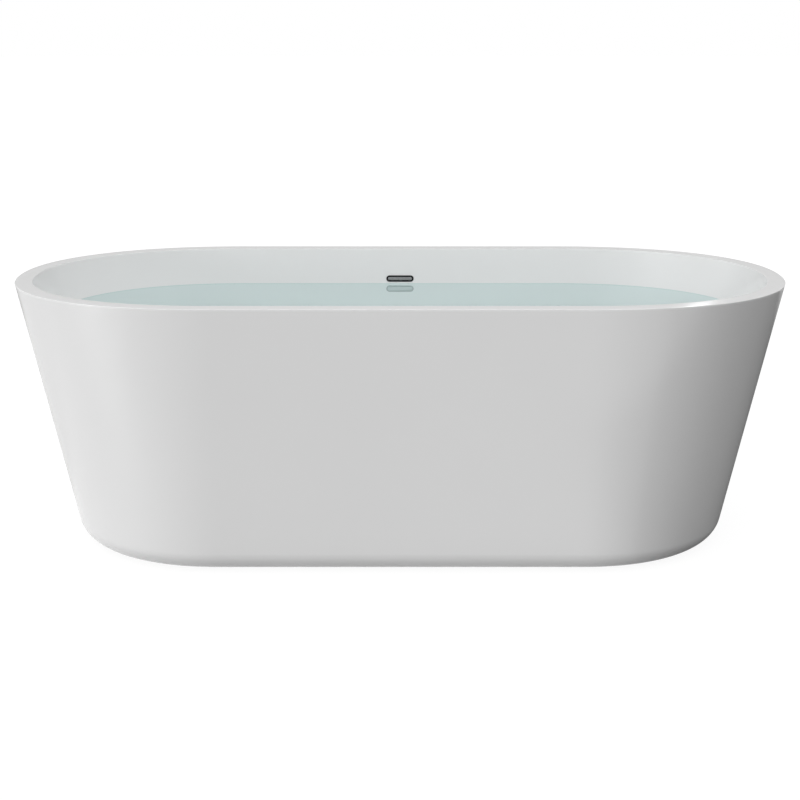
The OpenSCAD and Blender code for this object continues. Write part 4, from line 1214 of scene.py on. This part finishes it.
class BATH_OT_finishes(bpy.types.Operator):
    """Make the finishes and give every construction piece its own"""

    bl_idname = "bath.finishes"
    bl_label = "Finishes"

    def execute(self, context):
        colours = context.scene.bath_colours
        for maker in FINISH_MAKERS:
            maker(Finish(maker.__name__), tuple(getattr(colours, maker.__name__)))
        for row in frame["record"]["subparts"]:
            mesh = frame["nodes"][row["node"]].data
            mesh.materials.clear()
            mesh.materials.append(finish_named(row["material_slot"]))
        return {"FINISHED"}


class BATH_OT_basin(bpy.types.Operator):
    """Form the basin with its flat rim, waste seat and overflow slot"""

    bl_idname = "bath.basin"
    bl_label = "Basin"

    def execute(self, context):
        form_basin(context)
        return {"FINISHED"}


class BATH_OT_skirt(bpy.types.Operator):
    """Form the outer skirt with its flange and its return"""

    bl_idname = "bath.skirt"
    bl_label = "Skirt"

    def execute(self, context):
        form_skirt(context)
        return {"FINISHED"}


class BATH_OT_overflow(bpy.types.Operator):
    """Form the overflow's frame and plate"""

    bl_idname = "bath.overflow"
    bl_label = "Overflow"

    def execute(self, context):
        form_overflow(context)
        return {"FINISHED"}


class BATH_OT_waste(bpy.types.Operator):
    """Form the waste flange, its stopper and its spring"""

    bl_idname = "bath.waste"
    bl_label = "Waste"

    def execute(self, context):
        trim = context.scene.bath_trim
        form_flange(trim)
        form_stopper(trim)
        form_spring(trim)
        return {"FINISHED"}


class BATH_OT_slip_nuts(bpy.types.Operator):
    """Form the ribbed nuts of the waste's pipes"""

    bl_idname = "bath.slip_nuts"
    bl_label = "Slip nuts"

    def execute(self, context):
        form_slip_nuts(context.scene.bath_trim)
        return {"FINISHED"}


class BATH_OT_feet(bpy.types.Operator):
    """Form the four threaded studs and their ribbed pads"""

    bl_idname = "bath.feet"
    bl_label = "Feet"

    def execute(self, context):
        for number in range(1, 5):
            form_foot(number, context.scene.bath_frame)
        return {"FINISHED"}


class BATH_OT_fasteners(bpy.types.Operator):
    """Form the hexagon nuts and the screws of the frame"""

    bl_idname = "bath.fasteners"
    bl_label = "Fasteners"

    def execute(self, context):
        sizes = context.scene.bath_frame
        form_hex_nuts(sizes)
        form_screws(sizes)
        return {"FINISHED"}


class BATH_OT_frame(bpy.types.Operator):
    """Add the frame's weld beads and ease the sharp edges of the pieces that stay"""

    bl_idname = "bath.frame"
    bl_label = "Frame"

    def execute(self, context):
        form_welds()
        ease_edges()
        return {"FINISHED"}


class BATH_OT_stage(bpy.types.Operator):
    """Set up the light, the floor, the cards, the camera and the water"""

    bl_idname = "bath.stage"
    bl_label = "Stage"

    def execute(self, context):
        studio = context.scene.bath_studio
        light_world(studio)
        lay_floor(studio)
        hang_lamps(studio)
        hang_cards(studio)
        place_camera(studio)
        fill_water(context)
        return {"FINISHED"}


OPERATORS = (BATH_OT_finishes, BATH_OT_basin, BATH_OT_skirt, BATH_OT_overflow, BATH_OT_waste,
             BATH_OT_slip_nuts, BATH_OT_feet, BATH_OT_fasteners, BATH_OT_frame, BATH_OT_stage)


class BATH_PT_panel(bpy.types.Panel):
    """Lists the steps in the order in which the tub is made"""

    bl_label = "Bathtub"
    bl_idname = "BATH_PT_panel"
    bl_space_type = "VIEW_3D"
    bl_region_type = "UI"
    bl_category = "Bathtub"

    def draw(self, context):
        for operator in OPERATORS:
            self.layout.operator(operator.bl_idname)


GROUPS = {"bath_shell": BathShellSizes, "bath_trim": BathTrimSizes, "bath_frame": BathFrameSizes,
          "bath_studio": BathStudio, "bath_colours": BathColours}


def register():
    for cls in (*GROUPS.values(), *OPERATORS, BATH_PT_panel):
        bpy.utils.register_class(cls)
    for name, group in GROUPS.items():
        setattr(bpy.types.Scene, name, bpy.props.PointerProperty(type=group))


def unregister():
    for name in GROUPS:
        delattr(bpy.types.Scene, name)
    for cls in (BATH_PT_panel, *reversed(OPERATORS), *reversed(GROUPS.values())):
        bpy.utils.unregister_class(cls)


def main():
    register()
    scene = bpy.context.scene
    scene.view_settings.view_transform = "Standard"
    for operator in OPERATORS:
        group, step = operator.bl_idname.split(".")
        getattr(getattr(bpy.ops, group), step)()


if __name__ == "__main__":
    main()
